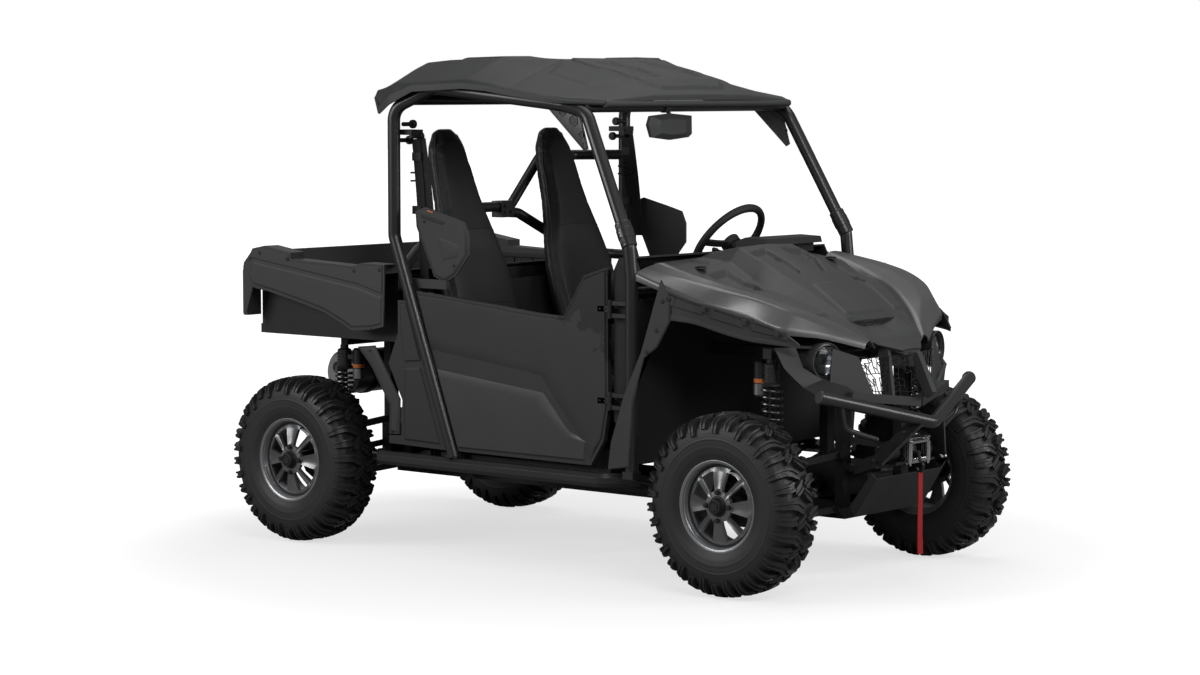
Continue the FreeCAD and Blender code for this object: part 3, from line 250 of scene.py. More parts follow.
def addSplash(name, base):
    # black where a slanted field plus a ragged noise is above nought: the splashed corner of a door
    makeFinish(name, *finishes[base])
    tree = library[name].node_tree
    nodes, links = tree.nodes, tree.links
    place = next(n for n in nodes if n.type == "TEX_COORD")
    shader = nodes["Principled BSDF"]
    drift = shader.inputs["Base Color"].links[0].from_socket
    slant = nodes.new("ShaderNodeVectorMath")
    slant.operation = "DOT_PRODUCT"
    slant.inputs[1].default_value = splash["slope"]
    ragged = nodes.new("ShaderNodeTexNoise")
    ragged.inputs["Scale"].default_value = splash["scale"]
    ragged.inputs["Detail"].default_value = 9.0
    ragged.inputs["Roughness"].default_value = 0.72
    links.new(place.outputs["Object"], slant.inputs[0])
    links.new(place.outputs["Object"], ragged.inputs["Vector"])
    rough = nodes.new("ShaderNodeMath")
    rough.operation = "MULTIPLY_ADD"
    rough.inputs[1].default_value = splash["ragged"]
    links.new(ragged.outputs["Fac"], rough.inputs[0])
    links.new(slant.outputs["Value"], rough.inputs[2])
    cut = nodes.new("ShaderNodeMapRange")
    cut.inputs["From Min"].default_value = splash["edge"]
    cut.inputs["From Max"].default_value = splash["edge"] + 0.012
    links.new(rough.outputs[0], cut.inputs["Value"])
    pick = nodes.new("ShaderNodeMix")
    pick.data_type = "RGBA"
    pick.inputs["B"].default_value = (0.003, 0.003, 0.003, 1)
    links.new(cut.outputs[0], pick.inputs["Factor"])
    links.new(drift, pick.inputs["A"])
    links.new(pick.outputs["Result"], shader.inputs["Base Color"])


splash = {"slope": (0.9, 0.0, 1.3), "scale": 15.0, "ragged": 1.1, "edge": 2.20}
addSplash("doorSplash", "doorPlastic")
addWeave("beltCloth", 160, 0.5)
addWeave("strapRed", 160, 0.5)

glass = bpy.data.materials.new("lampGlass")
glass.use_nodes = True
clear = glass.node_tree.nodes["Principled BSDF"]
clear.inputs["Base Color"].default_value = (0.95, 0.97, 1, 1)
clear.inputs["Roughness"].default_value = 0.04
clear.inputs["Transmission Weight"].default_value = 1.0
clear.inputs["IOR"].default_value = 1.3
library["lampGlass"] = glass

wheelPlaces = [end + "_" + side for end in ("front", "rear") for side in ("right", "left")]
nodeFinish = {
    "blackSteel": ("chassis_frame", "side_sills", "suspension_arms", "rear_knuckles", "front_knuckle_right",
                   "front_knuckle_left", "steering_rack", "drive_shafts", "skid_plate", "shock_absorbers"),
    "tubeSatin": ("roll_cage", "front_bumper"),
    "roofPlastic": ("roof",),
    "hoodPlastic": ("hood", "front_fascia"),
    "fenderGloss": ("front_fenders",),
    "flarePlastic": ("fender_flares", "shoulder_guards", "headlamps"),
    "doorPlastic": ("door_right", "door_left", "quarter_panels", "bed_side_panels", "tailgate"),
    "blackPlastic": ("inner_liners", "floor_pan", "cargo_bed", "mirror"),
    "dashPlastic": ("dashboard", "steering_wheel"),
    "seatVinyl": ("seat_right", "seat_left"),
    "beltCloth": ("seat_belts",),
    "engineGrey": ("engine_block",),
    "silverCan": ("muffler", "winch"),
    "strapRed": ("hook_strap",),
    "rubber": ["tyre_" + place for place in wheelPlaces],
    "alloyDark": ["rim_" + place for place in wheelPlaces],
}
for finish, names in nodeFinish.items():
    for name in names:
        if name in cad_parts:
            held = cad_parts[name].data.materials
            held.clear()
            held.append(library[finish])
print("finishes")


# shapes as numpy grids
def toFrame(points):
    return (np.asarray(points, float) - [middleX, 0, 0]) * 0.001


def gridFaces(rows, columns, wrapRows=False, wrapColumns=False):
    # quads between neighbouring points of a grid, joined round on itself where asked
    i, j = np.meshgrid(np.arange(rows if wrapRows else rows - 1),
                       np.arange(columns if wrapColumns else columns - 1), indexing="ij")
    iNext, jNext = (i + 1) % rows, (j + 1) % columns
    quads = np.stack([i * columns + j, i * columns + jNext, iNext * columns + jNext,
                      iNext * columns + j], -1)
    return quads.reshape(-1, 4).tolist()


def lofted(rings, closed=False):
    # a solid through rings of points, (ring, point, xyz), with flat ends unless it closes on itself
    rings = np.asarray(rings, float)
    rows, columns = rings.shape[:2]
    faces = gridFaces(rows, columns, closed, True)
    if not closed:
        faces += [list(range(columns))[::-1], [(rows - 1) * columns + k for k in range(columns)]]
    return rings.reshape(-1, 3), faces


def roundPath(points, bend, steps=8):
    # the polyline with each corner replaced by an arc tangent to both runs
    points = np.asarray(points, float)
    path = [points[:1]]
    for before, corner, after in zip(points, points[1:], points[2:]):
        intoIt, outOfIt = before - corner, after - corner
        cut = min(np.linalg.norm(intoIt), np.linalg.norm(outOfIt)) * 0.49
        intoIt, outOfIt = intoIt / np.linalg.norm(intoIt), outOfIt / np.linalg.norm(outOfIt)
        half = math.acos(np.clip(intoIt @ outOfIt, -1, 1)) / 2
        radius = min(bend, cut * math.tan(half))
        middle = corner + (intoIt + outOfIt) / np.linalg.norm(intoIt + outOfIt) * radius / math.sin(half)
        spread = math.pi / 2 - half
        angles = np.linspace(-spread, spread, steps + 1)[:, None]
        outward = (corner - middle) / np.linalg.norm(corner - middle)
        along = (outOfIt - intoIt) / np.linalg.norm(outOfIt - intoIt)
        path.append(middle + radius * (outward * np.cos(angles) + along * np.sin(angles)))
    return np.concatenate(path + [points[-1:]])


def carried(path, profile, lean=None):
    # a closed profile of (across, up) points carried square to a path; its up side keeps near lean
    path = np.asarray(path, float)
    profile = np.asarray(profile, float)
    run = np.gradient(path, axis=0)
    run /= np.linalg.norm(run, axis=1, keepdims=True)
    if lean is None:
        spread = path - path.mean(0)
        lean = np.linalg.svd(spread + 1e-9 * np.eye(len(path), 3))[2][2]
    side = np.cross(run, np.asarray(lean, float))
    side /= np.linalg.norm(side, axis=1, keepdims=True)
    up = np.cross(side, run)
    rings = path[:, None] + side[:, None] * profile[None, :, :1] + up[:, None] * profile[None, :, 1:]
    return lofted(rings)


def circle(radius, sides=20):
    angles = np.arange(sides) * 2 * math.pi / sides
    return np.stack([radius * np.cos(angles), radius * np.sin(angles)], -1)


def tube(points, radius, bend=60, sides=20, lean=None):
    return carried(roundPath(points, bend), circle(radius, sides), lean)


def capsule(p, q, radius, sides=16, end=2.0):
    # a straight bar whose two rims are rounded over
    p, q = np.asarray(p, float), np.asarray(q, float)
    run = q - p
    length = np.linalg.norm(run)
    run /= length
    helper = np.array([0, 0, 1.0]) if abs(run[2]) < 0.9 else np.array([1.0, 0, 0])
    u = np.cross(run, helper)
    u /= np.linalg.norm(u)
    w = np.cross(run, u)
    end = min(end, radius * 0.6, length * 0.3)
    turns = np.linspace(0, math.pi / 2, 4)
    along = np.concatenate([end * (1 - np.sin(turns[::-1]))[::-1],
                            length - end * (1 - np.sin(turns))[::-1]])
    along = np.sort(along)
    reach = np.concatenate([radius - end * (1 - np.cos(turns[::-1])), radius - end * (1 - np.cos(turns))])
    ring = circle(1, sides)
    rings = p + along[:, None, None] * run + reach[:, None, None] * (ring[None, :, :1] * u
            + ring[None, :, 1:] * w)
    return lofted(rings)


def lathe(profile, steps, closed=False, centre=(0, 0, 0), axis=(0, 1, 0)):
    # a profile of (along, radius) turned about an axis
    profile = np.asarray(profile, float)
    axis = np.asarray(axis, float) / np.linalg.norm(axis)
    helper = np.array([0, 0, 1.0]) if abs(axis[2]) < 0.9 else np.array([1.0, 0, 0])
    u = np.cross(axis, helper)
    u /= np.linalg.norm(u)
    w = np.cross(axis, u)
    angles = np.arange(steps) * 2 * math.pi / steps
    out = np.cos(angles)[:, None] * w + np.sin(angles)[:, None] * u
    points = np.asarray(centre, float) + profile[None, :, :1] * axis + out[:, None] * profile[None, :, 1:]
    faces = gridFaces(steps, len(profile), True, closed)
    if not closed:
        count = len(profile)
        faces += [[k * count for k in range(steps)], [k * count + count - 1 for k in range(steps)][::-1]]
    return points.reshape(-1, 3), faces


def spun(profile, steps, centre=(0, 0, 0), axis=(0, 1, 0)):
    # a turned solid with flat ends: the profile of (along, radius) is taken in to the axis at both ends
    first, last = profile[0][0], profile[-1][0]
    return lathe([(first, 0.1), *profile, (last, 0.1)], steps, False, centre, axis)


def spread3(outline, level, plane):
    # outline points set in a plane: xz at a y, xy at a z, or yz at an x
    outline = np.asarray(outline, float)
    level = np.full(len(outline), level) if np.ndim(level) == 0 else np.asarray(level, float)
    if plane == "xz":
        return np.stack([outline[:, 0], level, outline[:, 1]], -1)
    if plane == "xy":
        return np.stack([outline[:, 0], outline[:, 1], level], -1)
    return np.stack([level, outline[:, 0], outline[:, 1]], -1)


def plate(outline, low, high, plane="xz", outlineHigh=None):
    # a plate between two levels; a second outline makes its sides slope
    far = outline if outlineHigh is None else outlineHigh
    return lofted([spread3(outline, low, plane), spread3(far, high, plane)])


def block(x0, x1, y0, y1, z0, z1):
    return plate([(x0, z0), (x1, z0), (x1, z1), (x0, z1)], y0, y1)


def shrunk(outline, margin):
    # the outline moved inwards by a margin, each corner along its bisector
    outline = np.asarray(outline, float)
    ahead = np.roll(outline, -1, 0) - outline
    ahead /= np.linalg.norm(ahead, axis=1, keepdims=True)
    behind = np.roll(ahead, 1, 0)
    area = np.sum(outline[:, 0] * np.roll(outline[:, 1], -1) - np.roll(outline[:, 0], -1) * outline[:, 1])
    turn = 1 if area > 0 else -1
    normal = turn * np.stack([-ahead[:, 1], ahead[:, 0]], -1)
    before = turn * np.stack([-behind[:, 1], behind[:, 0]], -1)
    both = normal + before
    scale = 2 / np.maximum(np.sum(both * both, axis=1, keepdims=True), 0.5)
    return outline + margin * both * scale


def cutCorners(grid, reach=9.0, rounds=2, axis=0):
    # each inner point is replaced by two within reach of it, so flat facets meet in narrow folds
    for _ in range(rounds):
        grid = np.moveaxis(grid, axis, 0)
        low, high = grid[:-1], grid[1:]
        run = np.linalg.norm(high - low, axis=-1, keepdims=True)
        share = np.clip(reach / np.maximum(run, 1e-6), 0.01, 0.3)
        pairs = np.stack([low + share * (high - low), high - share * (high - low)], 1)
        pairs = pairs.reshape((-1,) + grid.shape[1:])
        grid = np.concatenate([grid[:1], pairs[1:-1], grid[-1:]])
        grid = np.moveaxis(grid, 0, axis)
        reach = reach * 0.45
    return grid


def shell(grid, wall):
    # a sheet of points given a wall on its inner side, with its rim closed
    grid = np.asarray(grid, float)
    rows, columns = grid.shape[:2]
    normal = np.cross(np.gradient(grid, axis=0), np.gradient(grid, axis=1))
    normal /= np.maximum(np.linalg.norm(normal, axis=2, keepdims=True), 1e-9)
    if normal[..., 2].sum() < 0:
        normal = -normal
    inner = grid - normal * wall
    count = rows * columns
    faces = gridFaces(rows, columns)
    faces += [[k + count for k in quad[::-1]] for quad in gridFaces(rows, columns)]
    rim = [j for j in range(columns)] + [i * columns + columns - 1 for i in range(1, rows)]
    rim += [(rows - 1) * columns + j for j in range(columns - 2, -1, -1)] + [i * columns
            for i in range(rows - 2, 0, -1)]
    faces += [[a, b, b + count, a + count] for a, b in zip(rim, rim[1:] + rim[:1])]
    return np.concatenate([grid.reshape(-1, 3), inner.reshape(-1, 3)]), faces


def stationGrid(stations, mirror=False):
    # stations of (x, half outline from the middle out) as a grid across the full width
    rows = []
    for x, line in stations:
        line = np.asarray(line, float)
        if mirror:
            line = np.concatenate([line[::-1] * [-1, 1], line[1:]])
        rows.append(np.column_stack([np.full(len(line), x), line]))
    return np.array(rows)


def flipped(part):
    points, faces = part[0].copy(), part[1]
    points[:, 1] *= -1
    return (points, [list(f)[::-1] for f in faces]) + tuple(part[2:])


def bothSides(parts):
    return list(parts) + [flipped(p) for p in parts]


def moved(part, shift):
    return (part[0] + np.asarray(shift, float), part[1]) + tuple(part[2:])


def painted(part, finish):
    return (part[0], part[1], finish)


def finished(parts, finish):
    return [painted(part, finish) for part in parts]


def addEdges(piece, bevel, rounds, limit, sharp=38):
    # broken edges, or sharp edges by angle where there is no bevel; normals follow the larger faces
    if bevel:
        edge = piece.modifiers.new("edge", "BEVEL")
        edge.width = bevel * 0.001
        edge.segments = rounds
        edge.limit_method = "ANGLE"
        edge.angle_limit = math.radians(limit)
        edge.use_clamp_overlap = True
    else:
        piece.data.set_sharp_from_angle(angle=math.radians(sharp))
    even = piece.modifiers.new("even", "WEIGHTED_NORMAL")
    even.keep_sharp = True


def addPiece(name, parts, finish, body="vehicle_body", replaces=(), bevel=0.0, rounds=2,
             limit=28, sharp=38):
    vertices, faces, marks, names = [], [], [], [finish]
    start = 0
    for part in parts:
        points = np.asarray(part[0], float).reshape(-1, 3)
        own = part[2] if len(part) > 2 else finish
        if own not in names:
            names.append(own)
        marks += [names.index(own)] * len(part[1])
        faces += [[start + k for k in polygon] for polygon in part[1]]
        vertices.append(points)
        start += len(points)
    mesh = bpy.data.meshes.new(name)
    mesh.from_pydata(toFrame(np.concatenate(vertices)).tolist(), [], faces)
    for own in names:
        mesh.materials.append(library[own])
    mesh.polygons.foreach_set("material_index", np.array(marks, np.int32))
    mesh.polygons.foreach_set("use_smooth", np.ones(len(faces), bool))
    tool = bmesh.new()
    tool.from_mesh(mesh)
    bmesh.ops.remove_doubles(tool, verts=tool.verts, dist=1e-5)
    bmesh.ops.recalc_face_normals(tool, faces=tool.faces)
    tool.to_mesh(mesh)
    tool.free()
    piece = bpy.data.objects.new(name, mesh)
    bpy.context.scene.collection.objects.link(piece)
    addEdges(piece, bevel, rounds, limit, sharp)
    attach(piece, body)
    if replaces:
        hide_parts(*replaces)
    return piece


def finer(grid, spacing, axis=0):
    # straight points put in between, so no interval is wider than the spacing
    grid = np.moveaxis(grid, axis, 0)
    run = np.linalg.norm(np.diff(grid, axis=0), axis=-1).reshape(len(grid) - 1, -1).mean(1)
    parts = np.maximum(np.ceil(run / spacing - 0.2), 1).astype(int)
    steps = np.concatenate([k + np.arange(n) / n for k, n in enumerate(parts)] + [[len(grid) - 1]])
    low = np.minimum(steps.astype(int), len(grid) - 2)
    share = (steps - low).reshape((-1,) + (1,) * (grid.ndim - 1))
    return np.moveaxis(grid[low] * (1 - share) + grid[low + 1] * share, 0, axis)


def pressed(x, y, outline, depth, slope):
    # depth times the distance inside a convex outline, in slope widths, eased and capped at one
    outline = np.asarray(outline, float)
    ahead = np.roll(outline, -1, 0) - outline
    ahead /= np.linalg.norm(ahead, axis=1, keepdims=True)
    behind = np.roll(outline, 1, 0)
    turn = 1 if np.sum(behind[:, 0] * outline[:, 1] - outline[:, 0] * behind[:, 1]) > 0 else -1
    inside = np.min([turn * ((y - p[1]) * a[0] - (x - p[0]) * a[1]) for p, a in zip(outline, ahead)],
                    axis=0)
    share = np.clip(inside / slope, 0, 1)
    return depth * share * share * (3 - 2 * share)


def raised(outline, level, height, margin, plane="xz"):
    # a pad that stands off a level, its top drawn in by a margin
    return plate(outline, level, level + height, plane, shrunk(outline, margin))


def slab(corners, offset):
    # a flat polygon in space made thick by an offset
    corners = np.asarray(corners, float)
    return lofted([corners, corners + np.asarray(offset, float)])


def bolt(centre, axis, across=9.0, height=6.0):
    # washer and six-sided head; the axis points out of the surface
    washer = [(-2, 0.1), (-2, across * 0.95), (1.6, across * 0.9), (1.6, 0.1)]
    head = [(1, 0.1), (1, across * 0.6), (height - 1, across * 0.6), (height, across * 0.48), (height, 0.1)]
    return [lathe(washer, 16, False, centre, axis), lathe(head, 6, False, centre, axis)]


def screw(centre, axis, radius=8.0):
    # round head with a sunken middle
    dome = [(-2, 0.1), (-2, radius), (1.2, radius), (3.4, radius * 0.8), (3.6, radius * 0.45),
            (2.0, radius * 0.35), (2.0, 0.1)]
    return [lathe(dome, 18, False, centre, axis)]


def dressed(node, finish, body="vehicle_body", bevel=2.0, rounds=2):
    # the node's own solid with its flat faces joined up again and its edges broken
    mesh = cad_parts[node].data.copy()
    mesh.materials.clear()
    mesh.materials.append(library[finish])
    tool = bmesh.new()
    tool.from_mesh(mesh)
    bmesh.ops.remove_doubles(tool, verts=tool.verts, dist=1e-5)
    bmesh.ops.dissolve_limit(tool, angle_limit=math.radians(0.8), verts=tool.verts, edges=tool.edges)
    bmesh.ops.recalc_face_normals(tool, faces=tool.faces)
    tool.to_mesh(mesh)
    tool.free()
    piece = bpy.data.objects.new("finished_" + node, mesh)
    bpy.context.scene.collection.objects.link(piece)
    mesh.polygons.foreach_set("use_smooth", np.ones(len(mesh.polygons), bool))
    mesh.polygons.foreach_set("material_index", np.zeros(len(mesh.polygons), np.int32))
    addEdges(piece, bevel, rounds, 25)
    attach(piece, body)
    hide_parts(node)
    return piece


# tyres and rims
tyre = {"radius": 355.6, "half": 110.0, "pitches": 17, "lugHeight": 23.0, "steps": 136}
rim = {"half": 96.0, "lip": 180.0, "spokes": 8, "inner": 60.0, "outer": 136.0,
       "wideSpoke": (16.0, 34.0), "thinSpoke": (8.0, 13.0)}
axles = {"front": 1150.0, "rear": -1150.0}
halfTrack = 677.0


def tyreProfile():
    # half section from the bead out over the sidewall to the middle of the tread
    return np.array([(90, 170), (95, 175), (99, 186), (105, 203), (109, 222), (110, 246), (109, 268),
                     (106, 286), (100, 303), (90, 317), (76, 325), (56, 329), (28, 331), (0, 331.6)], float)


def lugSolids(stations, angles, widths, skews, height):
    # blocks with a sunken middle that follow the section; a station is a place along it and a share of height
    section = tyreProfile()
    lengths = np.concatenate([[0], np.cumsum(np.linalg.norm(np.diff(section, axis=0), axis=1))])
    full = lengths[-1]
    where = full * np.array([s[0] for s in stations])
    y = np.interp(where, lengths, section[:, 0])
    r = np.interp(where, lengths, section[:, 1])
    slope = np.stack([np.interp(where + 3, lengths, line) - np.interp(where - 3, lengths, line)
                      for line in section.T], -1)
    slope /= np.linalg.norm(slope, axis=1, keepdims=True)
    normal = np.stack([slope[:, 1], -slope[:, 0]], -1)
    tall = height * np.array([s[1] for s in stations])
    widths, skews = np.asarray(widths, float), np.asarray(skews, float)
    rings = []
    for across, share in ((-1.04, -1), (-0.90, 1), (-0.40, 1), (-0.30, 0.7), (0.30, 0.7), (0.40, 1),
                          (0.90, 1), (1.04, -1)):
        out = tall * share if share > 0 else np.full(len(tall), -4.0)
        yy = y + normal[:, 0] * out
        rr = np.minimum(r + normal[:, 1] * out, tyre["radius"])
        angle = (skews + across * widths / 2) / 345.0
        angle = angles[:, None] + angle[None, :]
        rings.append(np.stack([rr * np.sin(angle), np.broadcast_to(yy, angle.shape),
                               rr * np.cos(angle)], -1))
    return [lofted(block) for block in np.stack(rings, 2)]


def makeTyre():
    half = tyreProfile()
    lengths = np.concatenate([[0], np.cumsum(np.linalg.norm(np.diff(half, axis=0), axis=1))])
    spots = np.arange(0, lengths[-1], 3.2)
    half = np.stack([np.interp(spots, lengths, half[:, 0]), np.interp(spots, lengths, half[:, 1])], -1)
    for radius, height, width in ((199, 1.0, 1.6), (205, 0.8, 1.6), (211, 0.8, 1.6), (228, 0.7, 2.5),
                                  (258, 1.6, 3.0)):
        half[:, 0] += height * np.exp(-((half[:, 1] - radius) / width) ** 2)
    inner = np.array([(0, 200), (78, 200), (84, 172)], float)
    dense = np.concatenate([half, half[::-1] * [-1, 1], inner[::-1] * [-1, 1], inner[1:]])
    parts = [lathe(dense, tyre["steps"], True)]
    pitch = 2 * math.pi / tyre["pitches"]
    spots = np.arange(tyre["pitches"]) * pitch
    tall = tyre["lugHeight"]
    long = [(0.46, 0.48), (0.53, 0.66), (0.60, 0.90), (0.70, 1.0), (0.79, 1.0), (0.86, 1.0), (0.94, 1.0)]
    short = [(0.53, 0.56), (0.58, 0.74), (0.64, 0.94), (0.71, 1.0), (0.80, 1.0)]
    side = lugSolids(long, spots, [26, 28, 31, 33, 38, 44, 34], [0, 0, 0, 0, 3, 10, 22], tall)
    side += lugSolids(short, spots + pitch / 2, [27, 30, 33, 36, 38], [0, 0, 0, 0, -5], tall)
    side += lugSolids([(0.83, 0.9), (0.90, 1.0), (0.995, 1.0)], spots + pitch * 0.52, [34, 42, 40],
                      [16, 4, -12], tall)
    for part in side:
        parts.append((part[0], part[1], "rubberWorn"))
    offset = pitch / 4
    turned = []
    for points, faces, *rest in parts[1:]:
        c, s = math.cos(offset), math.sin(offset)
        swung = np.stack([points[:, 0] * c + points[:, 2] * s, -points[:, 1],
                          -points[:, 0] * s + points[:, 2] * c], -1)
        turned.append((swung, [f[::-1] for f in faces], "rubberWorn"))
    return parts + turned


def rimFace():
    # dished disc in polar form: sectors share columns with the window edges, whose cells are left open
    sectors = rim["spokes"]
    radii = np.array([38, 46, 53, rim["inner"], 68, 80, 94, 108, 120, 130, rim["outer"], 142, 149, 156],
                     float)
    depth = np.interp(radii, [38, 60, 74, 112, 136, 149, 156], [88, 85, 81, 74, 69, 68, 52])
    half = math.pi / sectors
    angles, lifts = [], []
    for k in range(sectors):
        wide, thin = (rim["wideSpoke"], rim["thinSpoke"]) if k % 2 == 0 else (rim["thinSpoke"],
                rim["wideSpoke"])
        first = -half + np.interp(radii, [rim["inner"], rim["outer"]], wide) / radii
        last = half - np.interp(radii, [rim["inner"], rim["outer"]], thin) / radii
        first, last = np.minimum(first, -0.05), np.maximum(last, 0.05)
        columns = [np.full(len(radii), -half), (first - half) / 2, first, (first * 2 + last) / 3,
                   (first + last * 2) / 3, last, (last + half) / 2]
        angles += [c + (2 * k + 1) * half for c in columns]
        lifts += [-3, 0, 5, 0, 0, 5, 0]
    angles = np.stack(angles, 1)
    lift = np.array(lifts, float)[None, :] * np.interp(radii, [38, 60, 80, 136, 149],
                                                       [0, 0.3, 1, 1, 0])[:, None]
    y = depth[:, None] + lift
    grid = np.stack([radii[:, None] * np.sin(angles), y, radii[:, None] * np.cos(angles)], -1)
    rows, columns = grid.shape[:2]
    low = grid - [0, 16, 0]
    faces = np.array(gridFaces(rows, columns, False, True)).reshape(rows - 1, columns, 4)
    windows = np.zeros((rows - 1, columns), bool)
    windows[3:10] = np.isin(np.arange(columns) % 7, (2, 3, 4))[None, :]
    count = rows * columns
    keep = faces[~windows].reshape(-1, 4)
    inward = windows & ~np.pad(windows, ((1, 0), (0, 0)))[:-1]
    outward = windows & ~np.pad(windows, ((0, 1), (0, 0)))[1:]
    before, after = windows & ~np.roll(windows, 1, 1), windows & ~np.roll(windows, -1, 1)
    walls = []
    for cells, p, q in ((inward, 0, 1), (outward, 3, 2), (before, 0, 3), (after, 1, 2)):
        side = faces[cells]
        walls.append(np.stack([side[:, p], side[:, q], side[:, q] + count, side[:, p] + count], -1))
    polygons = keep.tolist() + (keep[:, ::-1] + count).tolist()
    edge = [[j, (j + 1) % columns, (j + 1) % columns + count, j + count] for j in range(columns)]
    far = (rows - 1) * columns
    edge += [[far + j, far + (j + 1) % columns, far + (j + 1) % columns + count, far + j + count]
             for j in range(columns)]
    points = np.concatenate([grid.reshape(-1, 3), low.reshape(-1, 3)])
    return [(points, polygons + edge), (points, np.concatenate(walls).tolist(), "alloyLip")]


def makeRim():
    w = rim["half"]
    lip = rim["lip"]
    barrel = [(w - 2, 172), (w + 0.5, 175), (w, lip - 1), (w - 3, lip), (w - 8, 177), (w - 11, 171),
              (w - 26, 169), (40, 158), (-w + 30, 158), (-w + 12, 169), (-w + 5, lip), (-w, lip - 1),
              (-w + 1, 174), (-w + 10, 164), (-w + 30, 151), (40, 151), (w - 40, 153), (w - 30, 155),
              (w - 24, 160), (w - 12, 163), (w - 9, 166), (w - 4, 167)]
    parts = [painted(lathe(barrel, 96, True), "alloyLip")] + rimFace()
    parts.append(painted(lathe([(w - 37, 146), (w - 34, 155.5), (w - 26, 157), (w - 26, 150)], 96,
                               True), "blackPlastic"))
    hub = [(60, 0.1), (60, 40), (84, 42), (90, 40), (91, 33), (95, 31), (104, 30), (112, 28), (114, 25),
           (114, 21), (110.5, 19), (110, 0.1)]
    parts.append(painted(lathe(hub, 40), "blackPlastic"))
    parts.append(painted(spun([(70, 26), (113.4, 18)], 6), "blackPlastic"))
    for k in range(4):
        angle = k * math.pi / 2
        spot = (54 * math.sin(angle), 80, 54 * math.cos(angle))
        parts.append(painted(spun([(0, 14.5), (7.5, 13.5)], 24, spot), "alloyDark"))
        parts.append(painted(spun([(2, 10.5), (18, 10), (20.5, 7)], 6, spot), "blackPlastic"))
    valve = (150 * math.sin(0.39), 66, 150 * math.cos(0.39))
    parts.append(painted(spun([(0, 4), (16, 4), (18, 3)], 12, valve), "blackPlastic"))
    return parts


def placeWheel(parts, x, side):
    placed = []
    for part in parts:
        part = part if side > 0 else flipped(part)
        placed.append(moved(part, (x, side * halfTrack, tyre["radius"])))
    return placed


tyreParts, rimParts = makeTyre(), makeRim()
for end, x in axles.items():
    for name, side in (("right", -1), ("left", 1)):
        body = "wheel_%s_%s" % (end, name)
        addPiece("tyreTread_%s_%s" % (end, name), placeWheel(tyreParts, x, side), "rubber", body,
                 ("tyre_%s_%s" % (end, name),))
        addPiece("wheelRim_%s_%s" % (end, name), placeWheel(rimParts, x, side), "alloyDark", body,
                 ("rim_%s_%s" % (end, name),), sharp=30)
print("tyres and rims")

# roof and cage
pillarX, cowlX, roofTop = -544.0, 592.0, 2058.0
roof = {"wall": 5.0, "visor": 12.5}
cage = {"tube": 26.2, "brace": 22.2, "bend": 78}


def makeRoof():
    # half outlines at stations along x: middle, inner fold, outer fold, rim, lower rim
    stations = [
        (pillarX - 116, [(0, -62), (330, -66), (560, -98), (724, -128), (742, -158)]),
        (pillarX - 66, [(0, -22), (320, -20), (556, -44), (740, -126), (770, -222)]),
        (pillarX + 6, [(0, -6), (310, -2), (550, -14), (752, -100), (786, -176)]),
        (pillarX + 134, [(0, -4), (300, 4), (548, -4), (756, -96), (784, -128)]),
        (pillarX + 394, [(0, 0), (290, 5), (542, 2), (742, -84), (764, -118)]),
        (pillarX + 516, [(0, -4), (300, -2), (510, -34), (736, -100), (760, -128)]),
        (cowlX - 550, [(0, -14), (300, -16), (508, -62), (732, -116), (756, -140)]),
        (cowlX - 324, [(0, -62), (290, -66), (520, -120), (728, -150), (748, -172)]),
        (cowlX - 232, [(0, -88), (290, -94), (520, -132), (716, -156), (728, -180)]),
        (cowlX - 122, [(0, -146), (300, -148), (520, -160), (606, -168), (612, -186)]),
        (cowlX - 117, [(0, -168), (300, -168), (520, -172), (606, -176), (612, -188)]),
    ]
    grid = stationGrid([(x, np.array(line, float) + [0, roofTop]) for x, line in stations], True)
    grid = cutCorners(cutCorners(grid, 4, 1, 0), 4, 1, 1)
    grid = finer(finer(grid, 9, 0), 9, 1)
    x, y = grid[..., 0], np.abs(grid[..., 1])
    lift = pressed(x, y, [(-26, -400), (-26, 240), (40, 292), (380, 262), (432, 200), (436, -400)], 11, 14)
    lift += pressed(x, y, [(60, 96), (84, 214), (190, 238), (330, 200), (344, 96), (200, 62)], -10, 12)
    lift += pressed(x, y, [(-480, 100), (-456, 250), (-120, 262), (-70, 100)], -9, 12)
    lift += pressed(x, y, [(-330, 336), (-372, 520), (-150, 520), (-60, 336)], 8, 10)
    lift += pressed(x, y, [(6, 330), (66, 480), (270, 480), (330, 330)], 6, 10)
    lift += pressed(x, y, [(-26, 300), (-10, 300), (62, 700), (46, 700)], -5, 5)
    lift += pressed(x, y, [(-640, 130), (-600, 520), (-548, 520), (-548, 130)], -7, 10)
    grid[..., 2] += lift
    return shell(grid, roof["wall"])


addPiece("roofShell", [makeRoof()], "roofPlastic", replaces=("roof",), sharp=34)


def makeRoofRim():
    # raised lip along each side, in the lighter hood finish as a painted highlight where the roof's lower
    # edge catches the light: a flat bar that hugs the lower rim, widest at the drooping rear corner
    rim = np.array([(-660, 742, -158, 10), (-610, 772, -212, 34), (-538, 787, -168, 40),
                    (-410, 785, -120, 30), (-150, 765, -110, 26), (-28, 761, -120, 24),
                    (42, 757, -132, 24), (268, 749, -164, 22), (360, 729, -172, 16),
                    (470, 613, -178, 10)], float)
    rim = finer(cutCorners(rim, 6, 1), 40)
    rings = []
    for x, y, drop, tall in rim:
        rings.append([(x, y - 5, roofTop + drop - tall / 2), (x, y + 2.5, roofTop + drop - tall / 2),
                      (x, y + 3, roofTop + drop + tall / 2 - 4), (x, y - 2, roofTop + drop + tall / 2)])
    return lofted(rings)


# the lip is real; its lighter hood finish is a painted highlight along the roof's lower edge
addPiece("roofRims", bothSides([makeRoofRim()]), "hoodPlastic", bevel=1.2, limit=30)
visor = [capsule((cowlX - 124, -604, 1876), (cowlX - 124, 604, 1876), roof["visor"], 24, 3)]
visor += bothSides([capsule((cowlX - 124, 596, 1876), (cowlX - 124, 612, 1876), roof["visor"] + 2.5, 24,
                            3)])
addPiece("roofVisor", visor, "hoodPlastic")

